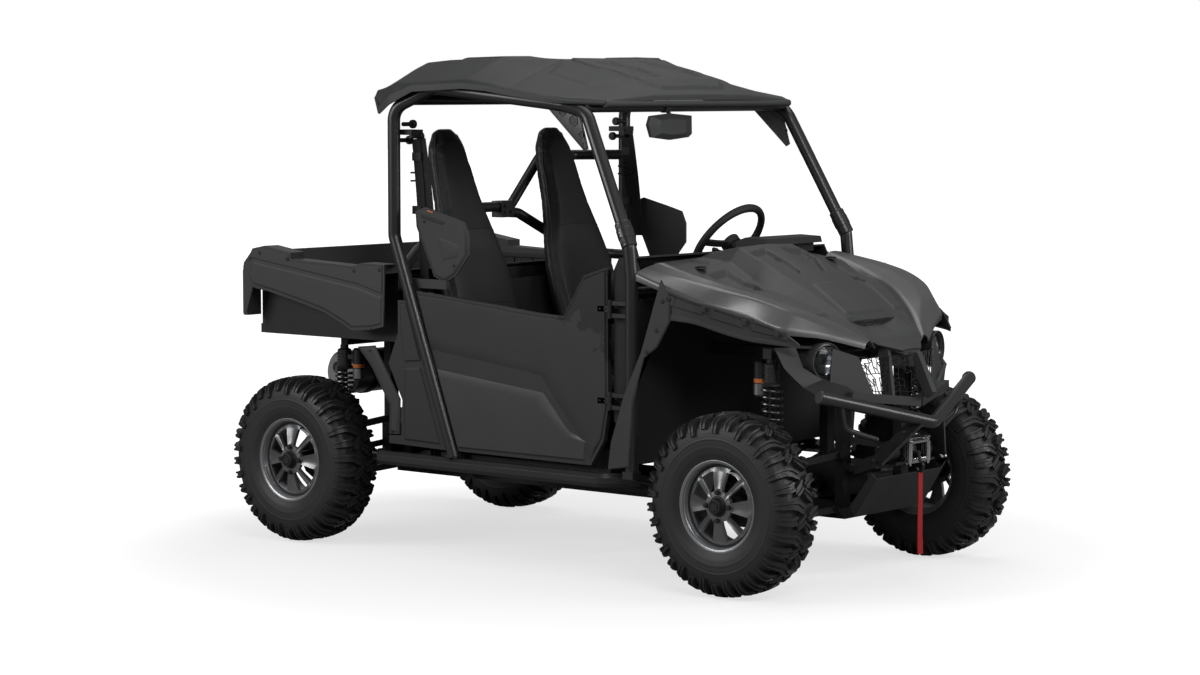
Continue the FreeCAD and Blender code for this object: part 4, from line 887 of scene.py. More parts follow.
sidePath = [(-222, 742, 436), (pillarX, 750, 1330), (pillarX, 750, 1855), (pillarX + 190, 714, 1940),
            (cowlX - 270, 692, 1872), (cowlX - 174, 664, 1842), (cowlX + 94, 729, 1331),
            (cowlX + 108, 729, 1200), (cowlX + 108, 729, 450.3)]
highPath = [(pillarX, 748, 1640), (pillarX - 142, 560, 1640), (pillarX - 142, 335, 1640),
            (pillarX - 125, 115, 1425), (pillarX - 112, -110, 1425), (pillarX - 50, -560, 1262),
            (-498, -742, 1200)]
lowPath = [(pillarX - 118, 60, 1400), (pillarX - 112, 150, 1395), (pillarX - 40, 480, 1215),
           (-494, 742, 1190)]


def makeGusset():
    # triangular pressed plate with a folded rim, three raised six-sided rings and a small hole's rim
    outline = np.array([(cowlX - 400, 1888), (cowlX - 205, 1850), (cowlX - 160, 1700),
                        (cowlX - 178, 1690)], float)
    made = [plate(outline, 668, 674)]
    made.append(plate(shrunk(outline, 3), 674, 677, "xz", shrunk(outline, 9)))
    for x, drop, r in ((cowlX - 290, 45, 20), (cowlX - 232, 78, 27), (cowlX - 192, 132, 17)):
        ring = [(674, r), (680, r - 2), (680, r - 6), (675, r - 8), (672, r - 8), (672, r)]
        made.append(lathe(ring, 6, True, (x, 0, 1888 - drop), (0, 1, 0)))
        made.append(painted(spun([(676, r - 9), (677.6, r - 9)], 6, (x, 0, 1888 - drop), (0, 1, 0)),
                            "blackSteel"))
    made += bolt((cowlX - 184, 677, 1722), (0, 1, 0), 6, 4)
    return made


def makeClamp():
    # cast sleeve at the pillar's foot with two big screws and two small holes' rims
    foot, head = np.array([cowlX + 92, 728, 1336.0]), np.array([cowlX + 52, 718, 1412.0])
    run = (head - foot) / np.linalg.norm(head - foot)
    made = [capsule(foot - run * 14, head + run * 6, 32, 24, 5),
            capsule(foot + run * 22, head - run * 22, 34, 24, 3)]
    for share in (0.16, 0.84):
        made += screw(foot + (head - foot) * share + [0, 31, 0], (0.1, 1, 0.05), 12)
    for share in (0.42, 0.58):
        made.append(painted(spun([(0, 4.5), (3.4, 4.5)], 12, foot + (head - foot) * share + [0, 31, 0],
                                 (0, 1, 0)), "bareSteel"))
    return made


def hingeHalves(z):
    # the frame's half of a door hinge: two knuckles, each on its own arm
    made = []
    for low in (z - 36.3, z + 12.3):
        made.append(spun([(low, 7.4), (low + 1, 8), (low + 23, 8), (low + 24, 7.4)], 24,
                         (cowlX + 14, 748, 0), (0, 0, 1)))
        made.append(block(cowlX + 14, cowlX + 92, 728, 748, low + 4, low + 20))
    return made


frameParts = bothSides([tube(sidePath, cage["tube"], cage["bend"], 24)] + makeGusset() + makeClamp()
                       + hingeHalves(720) + hingeHalves(1080) + [block(-256, -192, 718, 760, 433.2, 445)])
frameParts.append(capsule((cowlX - 190, -664, 1862), (cowlX - 190, 664, 1862), 20))
frameParts.append(capsule((pillarX + 30, -738, 1890), (pillarX + 30, 738, 1890), cage["brace"]))
frameParts.append(capsule((cowlX + 98, -729, 1150), (cowlX + 98, 729, 1150), 18))
frameParts += [tube(highPath, cage["brace"], 60, 20), tube(lowPath, cage["brace"], 60, 20)]
frameParts.append(block(pillarX - 149, pillarX - 91, 20, 100, 1378, 1450))
for y, z in ((42, 1400), (42, 1428), (80, 1400)):
    frameParts += bolt((pillarX - 91, y, z), (1, 0, 0), 9, 7)
frameParts += [block(pillarX - 62, pillarX - 50, 300, 326, 1258, 1312)]
addPiece("cageTubes", frameParts, "tubeSatin", replaces=("roll_cage",), sharp=40)
print("roof and cage")

# hood, fenders and flares
hood = {"wall": 5.0, "ventHalf": 153.0, "ventDrop": 30.0}


def hoodStations():
    return [(640, [(0, 30), (150, 28), (215, 12), (360, 6), (520, 2)]),
            (805, [(0, 62), (180, 56), (240, 0), (400, -14), (528, -24)]),
            (930, [(0, 14), (190, 4), (262, -64), (400, -78), (500, -82)]),
            (1041, [(0, -42), (190, -50), (308, -94), (390, -100), (455, -102)]),
            (1120, [(0, -84), (176, -90), (280, -120), (350, -126), (414, -130)]),
            (1240, [(0, -154), (160, -158), (220, -174), (280, -180), (338, -186)]),
            (1328, [(0, -210), (150, -212), (175, -216), (215, -220), (256, -226)]),
            (1420, [(0, -265), (70, -266), (120, -267), (160, -268), (192, -274)]),
            (1455, [(0, -287), (50, -288), (90, -290), (120, -293), (150, -300)]),
            (1515, [(0, -322), (18, -322), (36, -323), (50, -324), (64, -326)])]


def makeHood():
    grid = stationGrid([(x, np.array(line, float) + [0, 1250]) for x, line in hoodStations()], True)
    grid = cutCorners(cutCorners(grid, 3.5, 1, 0), 3.5, 1, 1)
    grid = finer(finer(grid, 6, 0), 6, 1)
    x, y = grid[..., 0], np.abs(grid[..., 1])
    lift = pressed(x, y, [(836, 50), (852, 182), (930, 172), (1046, 84), (1010, 50)], -19, 15)
    lift += pressed(x, y, [(840, 316), (846, 436), (1000, 430), (1052, 340), (980, 300)], -20, 16)
    lift += pressed(x, y, [(664, 236), (688, 352), (792, 344), (800, 262)], 8, 12)
    lift += pressed(x, y, [(1110, -200), (1110, 108), (1302, 140), (1317, -200)], 7, 10)
    lift += pressed(x, y, [(1050, 330), (1060, 410), (1270, 300), (1278, 226)], 7, 10)
    fall = np.clip((x - 1316) / 9, 0, 1) * np.clip(1 - (x - 1326) / 120, 0, 1)
    lift -= hood["ventDrop"] * fall * np.clip(1.15 - (y / hood["ventHalf"]) ** 2, 0, 1)
    grid[..., 2] += lift
    return shell(grid, hood["wall"])


def makeVent():
    # crescent opening: a dark back and rows of slanted bars between the scoop's lip and the nose
    half = hood["ventHalf"]
    made = []
    count = 22
    spots = np.linspace(-half + 12, half - 12, count)
    tall = 27 * (1 - (spots / half) ** 2) + 1
    lean = (spots[1] - spots[0]) * 0.9
    for y, t in zip(spots, tall):
        for side in (-1, 1):
            made.append(carried([(1329, y - side * lean / 2, 1033 - t),
                                 (1329, y + side * lean / 2, 1034)], circle(1.9, 6), (1, 0, 0)))
    made.append(carried([(1329, y, 1033 - 14 * (1 - (y / half) ** 2)) for y in spots], circle(1.7, 6),
                        (1, 0, 0)))
    back = [(y, 1034) for y in spots] + [(y, 1031 - t) for y, t in zip(spots[::-1], tall[::-1])]
    made.append(painted(plate(back, 1318, 1326.5, "yz"), "engineGrey"))
    return made


def makeLatch():
    return screw((818, 440, 1233), (-0.05, 0.05, 1), 24) + [block(800, 836, 434, 446, 1236, 1243),
                                                            block(792, 800, 428, 452, 1232, 1240)]


addPiece("hoodSkin", [makeHood()], "hoodPlastic", replaces=("hood",), sharp=50)
addPiece("hoodVent", makeVent(), "tubeSatin")
addPiece("hoodLatches", bothSides(makeLatch()), "blackPlastic", bevel=1.0)

flareLine = np.array([(888, 757, 1176, 1052), (1017, 735, 1130, 1041), (1100, 688, 1104, 1007),
                      (1190, 625, 1067, 975), (1290, 570, 1028, 962), (1352, 524, 968, 954)], float)
flare = {"edge": 5.0, "wall": 6.0, "screws": ((905, 1134), (1058, 1100), (1188, 1052), (1296, 1004))}


def makeFender():
    inner = [[(530, 1204), (600, 1222), (694, 1216)], [(490, 1166), (580, 1190), (676, 1190)],
             [(452, 1146), (550, 1164), (646, 1168)], [(392, 1112), (500, 1132), (590, 1141)],
             [(315, 1064), (400, 1084), (490, 1090)]]
    rows = [[(726, y, z) for y, z in [(500, 1214), (548, 1256), (600, 1258), (664, 1247), (738, 1228),
                                      (738, 1196)]]]
    for (x, y, top, bottom), line in zip(flareLine, inner):
        rows.append([(x, a, b) for a, b in [(line[0][0] - 42, line[0][1] - 44)] + line
                     + [(y - 5, top - 2), (y - 8.4, top - 24)]])
    rows.append([(1365, y, z) for y, z in [(214, 984), (250, 1022), (290, 1032), (340, 1022),
                                           (382, 1000), (386, 982)]])
    rows.append([(1446, y, z) for y, z in [(150, 934), (176, 962), (186, 968), (200, 964), (218, 950),
                                           (222, 936)]])
    grid = cutCorners(cutCorners(np.array(rows, float), 22, 2, 0), 9, 2, 1)
    return shell(finer(finer(grid, 30, 0), 30, 1), 4.5)


def alongFlare(x):
    # point on the flare's outer face and the way out of it, by the plan line's slope
    y = np.interp(x, flareLine[:, 0], flareLine[:, 1])
    slope = (np.interp(x + 20, flareLine[:, 0], flareLine[:, 1]) - np.interp(x - 20, flareLine[:, 0],
            flareLine[:, 1])) / 40
    out = np.array([-slope, 1, 0]) / math.hypot(slope, 1)
    return y, out


def makeFlare():
    # closed section carried along the arch: raised lips at both edges and a shelf turned in below
    section = [(-6, 1.0), (0, 1.0), (flare["edge"], 0.96), (flare["edge"], 0.88), (1, 0.84), (0, 0.24),
               (flare["edge"] - 1, 0.17), (flare["edge"] - 1, 0.03), (0, 0.0), (-40, 0.0), (-40, 0.05),
               (-6, 0.06)]
    line = finer(cutCorners(flareLine, 24, 2), 30)
    rings = []
    for x, y, top, bottom in line:
        narrow = np.clip((1352 - x) / 90, 0.25, 1)
        rings.append([(x, y + a * (narrow if a < -10 else 1), bottom + (top - bottom) * s)
                      for a, s in section])
    made = [lofted(rings)]
    leg = np.array([(868, 1206), (910, 1146), (912, 1047), (850, 946), (788, 900), (730, 720),
                    (710, 470), (605, 452), (620, 560), (690, 760), (772, 925)], float)
    made += [plate(leg, 754, 760), raised(leg, 760, 3, 4),
             painted(raised(shrunk(leg, 12), 762.4, -2.4, 3), "blackPlastic")]
    for low, high in ((896, 1040), (1066, 1170), (1198, 1280)):
        rings = []
        for x in np.linspace(low, high, 9):
            y, out = alongFlare(x)
            top = np.interp(x, flareLine[:, 0], flareLine[:, 2])
            bottom = np.interp(x, flareLine[:, 0], flareLine[:, 3])
            a = np.array([x, y, bottom + (top - bottom) * 0.48])
            b = np.array([x, y, bottom + (top - bottom) * 0.80])
            rings.append([a + out * 0.5, a + out * 5 + [0, 0, 3], b + out * 5 - [0, 0, 3], b + out * 0.5])
        made.append(lofted(rings))
    for x, z in flare["screws"]:
        y, out = alongFlare(x)
        run = np.array([out[1], -out[0], 0])
        centre = np.array([x, y, z]) + out * 1.5
        slopeRun = run * 26 + np.array([0, 0, -7.0])
        pad = [centre - slopeRun + [0, 0, 15], centre + slopeRun + [0, 0, 15],
               centre + slopeRun - [0, 0, 15], centre - slopeRun - [0, 0, 15]]
        made.append(slab(pad, out * 4.5))
        made += finished(screw(centre + out * 5, out, 10.5), "blackPlastic")
    for x, z in ((880, 1124), (850, 1010), (802, 925)):
        made += finished(screw((x, 763, z), (0, 1, 0), 9), "blackPlastic")
    return made


addPiece("fenderSkins", bothSides([makeFender()]), "fenderGloss", replaces=("front_fenders",), sharp=60)
addPiece("archFlares", bothSides(makeFlare()), "flarePlastic", replaces=("fender_flares",), bevel=1.6,
         limit=30)
print("hood, fenders and flares")

# nose, lamps, bumper and winch
nose = {"meshBar": 1.9, "cell": 21.0, "jitter": 0.34}


def looseNet(corners, inward, seed):
    # bars between shaken lattice points of a skewed quad; cells come out as irregular polygons
    corners = np.asarray(corners, float)
    wide = np.linalg.norm(corners[1] - corners[0])
    tall = np.linalg.norm(corners[3] - corners[0])
    columns, rows = max(int(wide / nose["cell"]), 3), max(int(tall / nose["cell"]), 3)
    u, v = np.meshgrid(np.linspace(0, 1, columns + 1), np.linspace(0, 1, rows + 1), indexing="ij")
    shake = np.random.default_rng(seed)
    inner = (u > 0) & (u < 1) & (v > 0) & (v < 1)
    u = u + inner * shake.uniform(-1, 1, u.shape) * nose["jitter"] / columns
    v = v + inner * shake.uniform(-1, 1, v.shape) * nose["jitter"] / rows
    place = (corners[0] * (1 - u)[..., None] * (1 - v)[..., None]
             + corners[1] * u[..., None] * (1 - v)[..., None] + corners[2] * u[..., None] * v[..., None]
             + corners[3] * (1 - u)[..., None] * v[..., None])
    bars = []
    for i in range(columns + 1):
        for j in range(rows + 1):
            if i < columns and shake.random() < 0.86:
                bars.append((place[i, j], place[i + 1, j]))
            if j < rows and shake.random() < 0.86:
                bars.append((place[i, j], place[i, j + 1]))
            if i < columns and j < rows and shake.random() < 0.4:
                bars.append((place[i, j], place[i + 1, j + 1]))
    return [carried([p, q], circle(nose["meshBar"], 5), inward) for p, q in bars]


def makeNose():
    made = looseNet([(1440, 262, 905), (1482, 112, 905), (1500, 120, 748), (1470, 215, 752)],
                    (1, 0.5, 0), 4)
    made += looseNet([(1490, 92, 905), (1530, 16, 905), (1560, 18, 745), (1505, 104, 740)], (1, 0.3, 0), 7)
    made = finished(made, "blackPlastic")
    pod = [(1386, 352, 944), (1444, 262, 908), (1478, 205, 760), (1440, 300, 752), (1402, 392, 800)]
    made.append(slab(pod, (-8, -6, 0)))
    made.append(slab([(1386, 352, 948), (1300, 470, 955), (1296, 474, 948), (1382, 356, 938)],
                     (-40, -30, 2)))
    return made


def makeLamp():
    # barrel, dished bezel, crescent mirror behind a clear dome, turned a little outward
    axis = np.array([math.cos(math.radians(12)), math.sin(math.radians(12)), 0])
    back = np.array([1282, 361, 894.0])
    shellLine = [(0, 0.1), (0, 60), (6, 67), (80, 67), (92, 69), (98, 68), (99, 64), (92, 58), (86, 55),
                 (70, 54), (60, 44), (54, 20), (54, 0.1)]
    made = [lathe(shellLine, 48, False, back, axis)]
    bowl = [(56, 0.1), (58, 16), (62, 30), (70, 42), (80, 50), (84, 52.5), (82, 53.5), (66, 46),
            (58, 32), (53, 16), (52, 0.1)]
    made.append(painted(lathe(bowl, 48, False, back, axis), "reflector"))
    made.append(painted(spun([(58, 13), (76, 12), (79, 8)], 24, back, axis), "lampShell"))
    made.append(painted(lathe([(84, 0.1), (84, 53), (86, 53.5), (90, 40), (92.5, 20), (93, 0.1)], 48,
                              False, back, axis), "lampGlass"))
    hoodRing = [(60, 70), (100, 74), (104, 73), (104, 69), (98, 68), (62, 68)]
    made.append(painted(lathe(hoodRing, 48, True, back, axis), "flarePlastic"))
    made.append(block(1222.3, 1292, 350, 374, 905, 925))
    return made


addPiece("noseNets", bothSides(makeNose()), "hoodPlastic", sharp=40)
dressed("front_fascia", "hoodPlastic", bevel=4.0, rounds=3)
addPiece("roundLamps", bothSides(makeLamp()), "lampShell", replaces=("headlamps",), sharp=35)

bumper = {"tube": 25.2, "loop": 11.0, "bend": 60}


def makeBumper():
    end, front = (1452, 509, 769), (1618.2, 0, 645)
    made = [tube([end, front, (1452, -509, 769)], bumper["tube"], bumper["bend"], 28, (0.6, 0, 0.8))]
    half = [capsule((1450, 503, 767.6), (1444, 524, 772), bumper["tube"] + 2.5, 28, 5)]
    half.append(tube([(1483, 430, 744), (1466, 384, 640), (1500, 214, 588)], bumper["loop"], 70, 14))
    for a, b, wide in (((1586, 70, 648), (1500, 215, 500), 64), ((1502, 213, 502), (1412, 236, 470), 60)):
        run = (np.array(b, float) - a) / np.linalg.norm(np.array(b, float) - a)
        flat = [(-6, -wide / 2), (6, -wide / 2), (6, wide / 2), (-6, wide / 2)]
        half.append(carried([np.array(a, float), np.array(b, float)], flat,
                            np.cross(run, np.cross([1, 0, 0], run))))
    made += bothSides(half + bolt((1494, 232, 508), (0.3, 1, 0), 8)
                      + bolt((1560, 120, 612), (0.3, 1, 0), 8))
    made.append(block(1390, 1434, -240, 240, 458, 482))
    made += bothSides([block(1350.3, 1412, 185, 215, 458, 482)])
    return made


addPiece("bumperTubes", makeBumper(), "tubeSatin", replaces=("front_bumper",), bevel=0.8, limit=35)


def makeWinch():
    made = [painted(spun([(-60, 38), (-54, 38), (-52, 26), (52, 26), (54, 38), (60, 38)], 32,
                         (1480, 0, 528)), "blackSteel")]
    wraps = np.linspace(-50, 50, 21)
    made += [painted(lathe([(y - 2.6, 24), (y, 30), (y + 2.6, 24)], 28, True, (1480, 0, 528)),
                     "bareSteel") for y in wraps[1:-1]]
    for y, far in ((62, 150), (-62, -150)):
        made.append(painted(spun([(y, 40), ((y * 3 + far) / 4, 41), (far - 8 * np.sign(far), 41),
                                  (far, 36)], 30, (1480, 0, 528)), "blackPlastic"))
        for k in range(4):
            spot = (1480 + 30 * math.cos(k * math.pi / 2 + 0.7), far,
                    528 + 30 * math.sin(k * math.pi / 2 + 0.7))
            made += finished(bolt(spot, (0, np.sign(far), 0), 5, 5), "bareSteel")
    made.append(painted(block(1425, 1535, -135, 135, 482.5, 492), "blackSteel"))
    outer = [(-76, 480), (76, 480), (76, 580), (-76, 580)]
    hole = [(-50, 500), (50, 500), (50, 560), (-50, 560)]
    ring = ((outer, 1528), (outer, 1538), (hole, 1538), (hole, 1528))
    made.append(lofted([spread3(line, x, "yz") for line, x in ring], True))
    for y in (-62, 62):
        made.append(spun([(484, 9), (486, 11), (490, 11.5), (562, 11.5), (566, 11), (568, 9)], 24,
                         (1550, y, 0), (0, 0, 1)))
        made.append(spun([(476, 8), (484, 8)], 6, (1550, y, 0), (0, 0, 1)))
        made.append(spun([(568, 9), (576, 9), (578, 7)], 6, (1550, y, 0), (0, 0, 1)))
        made.append(block(1536, 1556, y - 10, y + 10, 578, 584))
    for z in (494, 566):
        made.append(spun([(-52, 8), (-48, 9), (48, 9), (52, 8)], 24, (1546, 0, z)))
    made.append(painted(carried([(1500, -24, 530), (1556, -27, 528), (1568, -28, 520)], circle(4.6, 12),
                                (0, 1, 0)), "bareSteel"))
    hook = roundPath([(1568, -28, 524), (1572, -28, 500), (1592, -28, 478), (1584, -28, 452),
                      (1564, -28, 454), (1560, -28, 466)], 14, 6)
    made.append(painted(carried(hook, circle(6.0, 14), (0, 1, 0)), "blackSteel"))
    made.append(painted(spun([(518, 9), (534, 7)], 16, (1568, -28, 0), (0, 0, 1)), "blackSteel"))
    return made


addPiece("winchUnit", makeWinch(), "chrome", replaces=("winch",), sharp=35)
strapPath = [(1578, -28, 450), (1578.5, -29, 400), (1579, -30, 330), (1578, -29, 262),
             (1577, -27.5, 195), (1578, -28, 129)]


def makeStrap():
    # a flat woven band, two and a half millimetres thick, with a doubled lower end
    way = cutCorners(np.array(strapPath, float), 22, 3)
    half = 12.5
    turn = np.linspace(0, 1, len(way))[:, None]
    side = np.concatenate([np.sin(0.12 + turn * 0.25), np.cos(0.12 + turn * 0.25), 0 * turn], 1)
    out = np.concatenate([np.cos(0.12 + turn * 0.25), -np.sin(0.12 + turn * 0.25), 0 * turn], 1)
    shape = [(-1, -0.6), (-0.96, -1.25), (0.96, -1.25), (1, -0.6), (1, 0.6), (0.96, 1.25),
             (-0.96, 1.25), (-1, 0.6)]
    rings = np.stack([way + side * a * half + out * b for a, b in shape], 1)
    return [lofted(rings), lofted(rings[-5:] + out[-5:, None] * 2.2)]


strap = addPiece("pullStrap", makeStrap(), "strapRed", replaces=("hook_strap",), sharp=40)
print("nose, lamps, bumper and winch")

# doors, quarter panels and bed
bedBack, bedFront = -1440, -590
door = {"face": 742.0, "base": 741.0, "top": 748.0}
doorOutline = [(-200.5, 461), (-435, 1106), (-228, 1090), (213, 1047), (361, 1039), (467, 1207),
               (588, 1244), (592, 690), (569, 562), (504, 459)]
upperBase = [(-344, 862), (233, 795), (440, 560), (500, 474), (560, 566), (586, 692), (583, 1236),
             (469, 1199), (363, 1033), (213, 1041), (-228, 1084), (-424, 1099)]
upperTop = [(-360, 920), (297, 823), (504, 562), (524, 530), (556, 570), (580, 694), (577, 1226),
            (474, 1188), (369, 1024), (213, 1031), (-228, 1074), (-414, 1088)]
lowerBase = [(-318, 797), (265, 736), (400, 586), (487, 556), (482, 472), (-196, 472)]
lowerTop = [(-298, 752), (208, 698), (376, 566), (474, 546), (470, 482), (-200, 482)]


def makeDoor():
    made = [plate(doorOutline, 718, door["face"]),
            plate(upperBase, door["base"], door["top"], "xz", upperTop),
            painted(plate(lowerBase, door["base"], door["top"], "xz", lowerTop), "doorLight")]
    for z in (720, 1080):
        made.append(painted(block(542, 606, 741, 748, z - 12, z + 12), "blackSteel"))
        barrel = [(z - 12, 0.1), (z - 12, 7.2), (z - 11, 8), (z + 11, 8), (z + 12, 7.2), (z + 12, 0.1)]
        made.append(painted(lathe(barrel, 24, False, (606, 748, 0), (0, 0, 1)), "blackSteel"))
        made += [painted(p, "blackSteel") for x in (556, 580) for p in screw((x, 748, z), (0, 1, 0), 5)]
    inner = shrunk(doorOutline, 26)
    made.append(painted(plate(inner, 714, 719), "dashPlastic"))
    made.append(painted(raised([(-300, 1010), (60, 975), (60, 935), (-290, 965)], 700, 15, 6),
                        "dashPlastic"))
    return made


doorParts = makeDoor()
for name, parts in (("right", [flipped(p) for p in doorParts]), ("left", doorParts)):
    addPiece("doorSkin_" + name, parts, "doorSplash", "door_" + name,
             ("door_" + name,), bevel=2.2, rounds=3, limit=22)


def makeQuarter():
    made = [plate([(-535, 1065), (-473, 1065), (-268.7, 460), (-589, 467), (-589, 500), (-519, 503),
                   (-513, 651), (-590, 800), (-536, 930)], 730, 742)]
    upper = [(-528, 1058), (-480, 1058), (-398, 816), (-500, 806), (-520, 930)]
    made.append(plate(shrunk(upper, 2), 741, 747, "xz", shrunk(upper, 10)))
    lower = [(-498, 790), (-404, 800), (-290, 476), (-505, 482), (-505, 640)]
    made.append(plate(shrunk(lower, 2), 741, 747, "xz", shrunk(lower, 12)))
    strip = [(-766, 860), (-666, 870), (-524, 655), (-528, 508), (-587, 506), (-583, 626), (-688, 782)]
    made.append(plate(strip, 738, 744))
    made.append(painted(plate(shrunk(strip, 5), 743, 748, outlineHigh=shrunk(strip, 14)), "doorLight"))
    made += [painted(p, "blackPlastic") for x, z in ((-690, 846), (-566, 520))
             for p in screw((x, 746, z), (0, 1, 0), 7)]
    made.append(block(-394, -280, 718, 740, 520, 560))
    made.append(block(-574, -484, 732, 740, 570, 620))
    return made


addPiece("quarterSkins", bothSides(makeQuarter()), "doorPlastic", replaces=("quarter_panels",),
         bevel=2.0, rounds=3, limit=22)


def makeBedSide():
    b, f = bedBack, bedFront
    outer = [(b + 46, 1250), (b + 120, 1264), (b + 278, 1240), (b + 278, 1212), (f - 200, 1196),
             (f - 150, 1211), (f - 20, 1208), (f - 28, 950), (f - 96, 934), (-796, 925), (-848, 951),
             (-962, 996), (-1090, 1026), (-1273, 1065), (-1400, 1082), (b + 10, 966), (b - 15, 966),
             (b - 15, 1154)]
    made = [plate(outer, 736, 743)]
    high = [(b + 44, 1244), (b + 120, 1257), (b + 272, 1234), (b + 273, 1206), (f - 200, 1190),
            (f - 150, 1205), (f - 26, 1202), (f - 30, 1084), (f - 175, 1121), (b + 44, 1207),
            (b + 22, 1190)]
    made.append(raised(high, 742, 6, 5))
    low = [(b + 46, 1196), (f - 178, 1110), (f - 32, 1073), (f - 34, 958), (f - 98, 944), (-800, 936),
           (-852, 962), (-966, 1007), (-1094, 1037), (-1277, 1076), (-1396, 1096), (b + 20, 1140)]
    made.append(raised(low, 742, 4.5, 9))
    lip = np.array([(b + 6, 974), (-1392, 1090), (-1273, 1070), (-1090, 1031), (-962, 1001),
                    (-848, 956), (-796, 930), (f - 96, 939)], float)
    made.append(painted(carried([(x, 742, z) for x, z in lip], [(-5, -4), (5, -4), (5, 5), (-5, 5)],
                                (0, 1, 0)), "flarePlastic"))
    shelf = [(b + 46, 1250), (b + 120, 1264), (b + 278, 1240), (b + 278, 1212), (f - 200, 1196),
             (f - 150, 1211), (f - 20, 1208), (f - 20, 1170), (b - 15, 1170), (b - 15, 1186)]
    made.append(plate(shelf, 659.3, 737))
    made.append(block(b - 15, b + 12, 659.3, 740, 960, 1175))
    for x, z in ((b + 96, 1232), (b + 262, 1212), (f - 190, 1176), (f - 44, 1186)):
        made += finished(screw((x, 747, z), (0, 1, 0), 9), "blackPlastic")
    for z in (990, 1060, 1130):
        made.append(painted(raised([(664, z), (726, z), (726, z + 54), (664, z + 54)], b - 16, -6, 6,
                                   "yz"), "lampRed"))
    return made


addPiece("bedSideSkins", bothSides(makeBedSide()), "bedPlastic", "cargo_bed", ("bed_side_panels",),
         bevel=2.0, rounds=3, limit=20)


def makeBedTub():
    b, f = bedBack, bedFront
    made = [block(b + 34, f - 20, -655, 655, 880.3, 888.3), block(f - 28, f - 20, -655, 655, 880.3, 1176)]
    for y in (-480, -160, 160, 480):
        made.append(plate([(y - 18, 887), (y + 18, 887), (y + 13, 894), (y - 13, 894)], b + 60, f - 40,
                          "yz"))
    half = [block(b + 34, f - 20, 651, 659, 880.3, 1176), block(b + 34, f - 20, 640, 659, 1164, 1182)]
    for x in np.linspace(b + 90, f - 90, 7):
        half.append(plate([(x - 16, 888), (x + 16, 888), (x + 13, 1160), (x - 13, 1160)], 652, 645, "xz"))
    half.append(block(b + 6, b + 36, 648, 656, 880.3, 920))
    half.append(spun([(622, 6), (654, 6)], 16, (-1425, 0, 908)))
    half.append(plate([(-1368, 852), (-1332, 852), (-1332, 882), (-1368, 882)], 239, 251))
    made.append(block(f - 40, f - 20, -655, 655, 1164, 1182))
    for y in np.linspace(-560, 560, 9):
        made.append(plate([(y - 20, 890), (y + 20, 890), (y + 16, 1160), (y - 16, 1160)], f - 27,
                          f - 34, "yz"))
    return made + bothSides(half)


addPiece("bedTub", makeBedTub(), "blackPlastic", "cargo_bed", ("cargo_bed",), bevel=1.5, limit=30)


def makeGate():
    b = bedBack
    outline = [(-645, 900), (-638, 894), (638, 894), (645, 900), (645, 1228), (636, 1236), (-636, 1236),
               (-645, 1228)]
    made = [plate(outline, b + 4, b + 28, "yz")]
    for z in (934, 1000, 1120, 1186):
        rib = [(-560, z), (560, z), (560, z + 26), (-560, z + 26)]
        made.append(raised(rib, b + 5, -6, 6, "yz"))
    made.append(painted(raised([(-90, 1060), (90, 1060), (90, 1100), (-90, 1100)], b + 5, -9, 5, "yz"),
                        "blackPlastic"))
    made.append(painted(plate([(-70, 1068), (70, 1068), (70, 1092), (-70, 1092)], b - 3.5, b - 4, "yz"),
                        "dashPlastic"))
    return made


addPiece("gateSkin", makeGate(), "bedPlastic", "tailgate", ("tailgate",), bevel=2.0, rounds=2)
print("doors, quarter panels and bed")

# cabin
seatSize = {"side": 345.0, "foot": -276.0, "rise": 1020.0, "rake": 0.33}


def seatBack(margin):
    # crowned section at each height: rounded front and back, sides drawn in
    rise, rake = seatSize["rise"], seatSize["rake"]
    shares = np.array([-0.04, 0.0, 0.08, 0.18, 0.32, 0.42, 0.52, 0.6, 0.69, 0.78, 0.87, 0.94, 1.0, 1.02])
    half = np.interp(shares, [0, 0.32, 0.45, 0.52, 0.60, 0.69, 0.78, 0.87, 0.95, 1.0, 1.02],
                     [222, 232, 228, 212, 184, 160, 146, 134, 118, 84, 50]) - margin
    deep = np.interp(shares, [0, 0.32, 0.52, 0.69, 0.87, 1, 1.02], [150, 124, 106, 94, 82, 52, 30]) - margin
    angles = np.arange(40) * 2 * math.pi / 40
    c, s = np.cos(angles), np.sin(angles)
    across = np.sign(c) * np.abs(c) ** 0.62
    along = np.sign(s) * np.abs(s) ** 0.72
    rings = []
    for share, h, d in zip(shares, half, deep):
        x = seatSize["foot"] - rise * share * rake
        z = 730 + rise * share
        push = -d / 2 - margin / 2 + along * d / 2
        hollow = 10 * (1 - np.clip(np.abs(across), 0, 1) ** 2) * (along > 0) * (share < 0.55)
        rings.append(np.stack([x + push - hollow, across * h * np.where(along < 0, 0.86, 1.0),
                               z + 0 * c - push * 0.12], -1))
    return lofted(rings)


def seatBase(margin):
    # cushion section along x: crowned top with side bolsters and a rolled front edge
    stations = np.array([-360, -330, -250, -100, 40, 140, 180, 204.0])
    top = np.interp(stations, [-360, -100, 140, 180, 204], [716, 742, 768, 756, 716]) - margin
    low = np.interp(stations, [-360, 180, 204], [640, 640, 662]) + margin * 0.3
    angles = np.arange(40) * 2 * math.pi / 40
    c, s = np.cos(angles), np.sin(angles)
    across = np.sign(c) * np.abs(c) ** 0.5
    up = np.sign(s) * np.abs(s) ** 0.6
    rings = []
    for x, t, b in zip(stations, top, low):
        bolster = 13 * (np.abs(across) ** 3) * (up > 0)
        rings.append(np.stack([x + 0 * c, across * (232 - margin),
                               (t + b) / 2 + up * (t - b) / 2 + bolster - 8 * (up > 0)], -1))
    return lofted(rings)


padding = {"voxel": 0.0085, "quickVoxel": 0.012, "pressure": 4, "mass": 0.4, "frames": 15, "fill": 0.8}


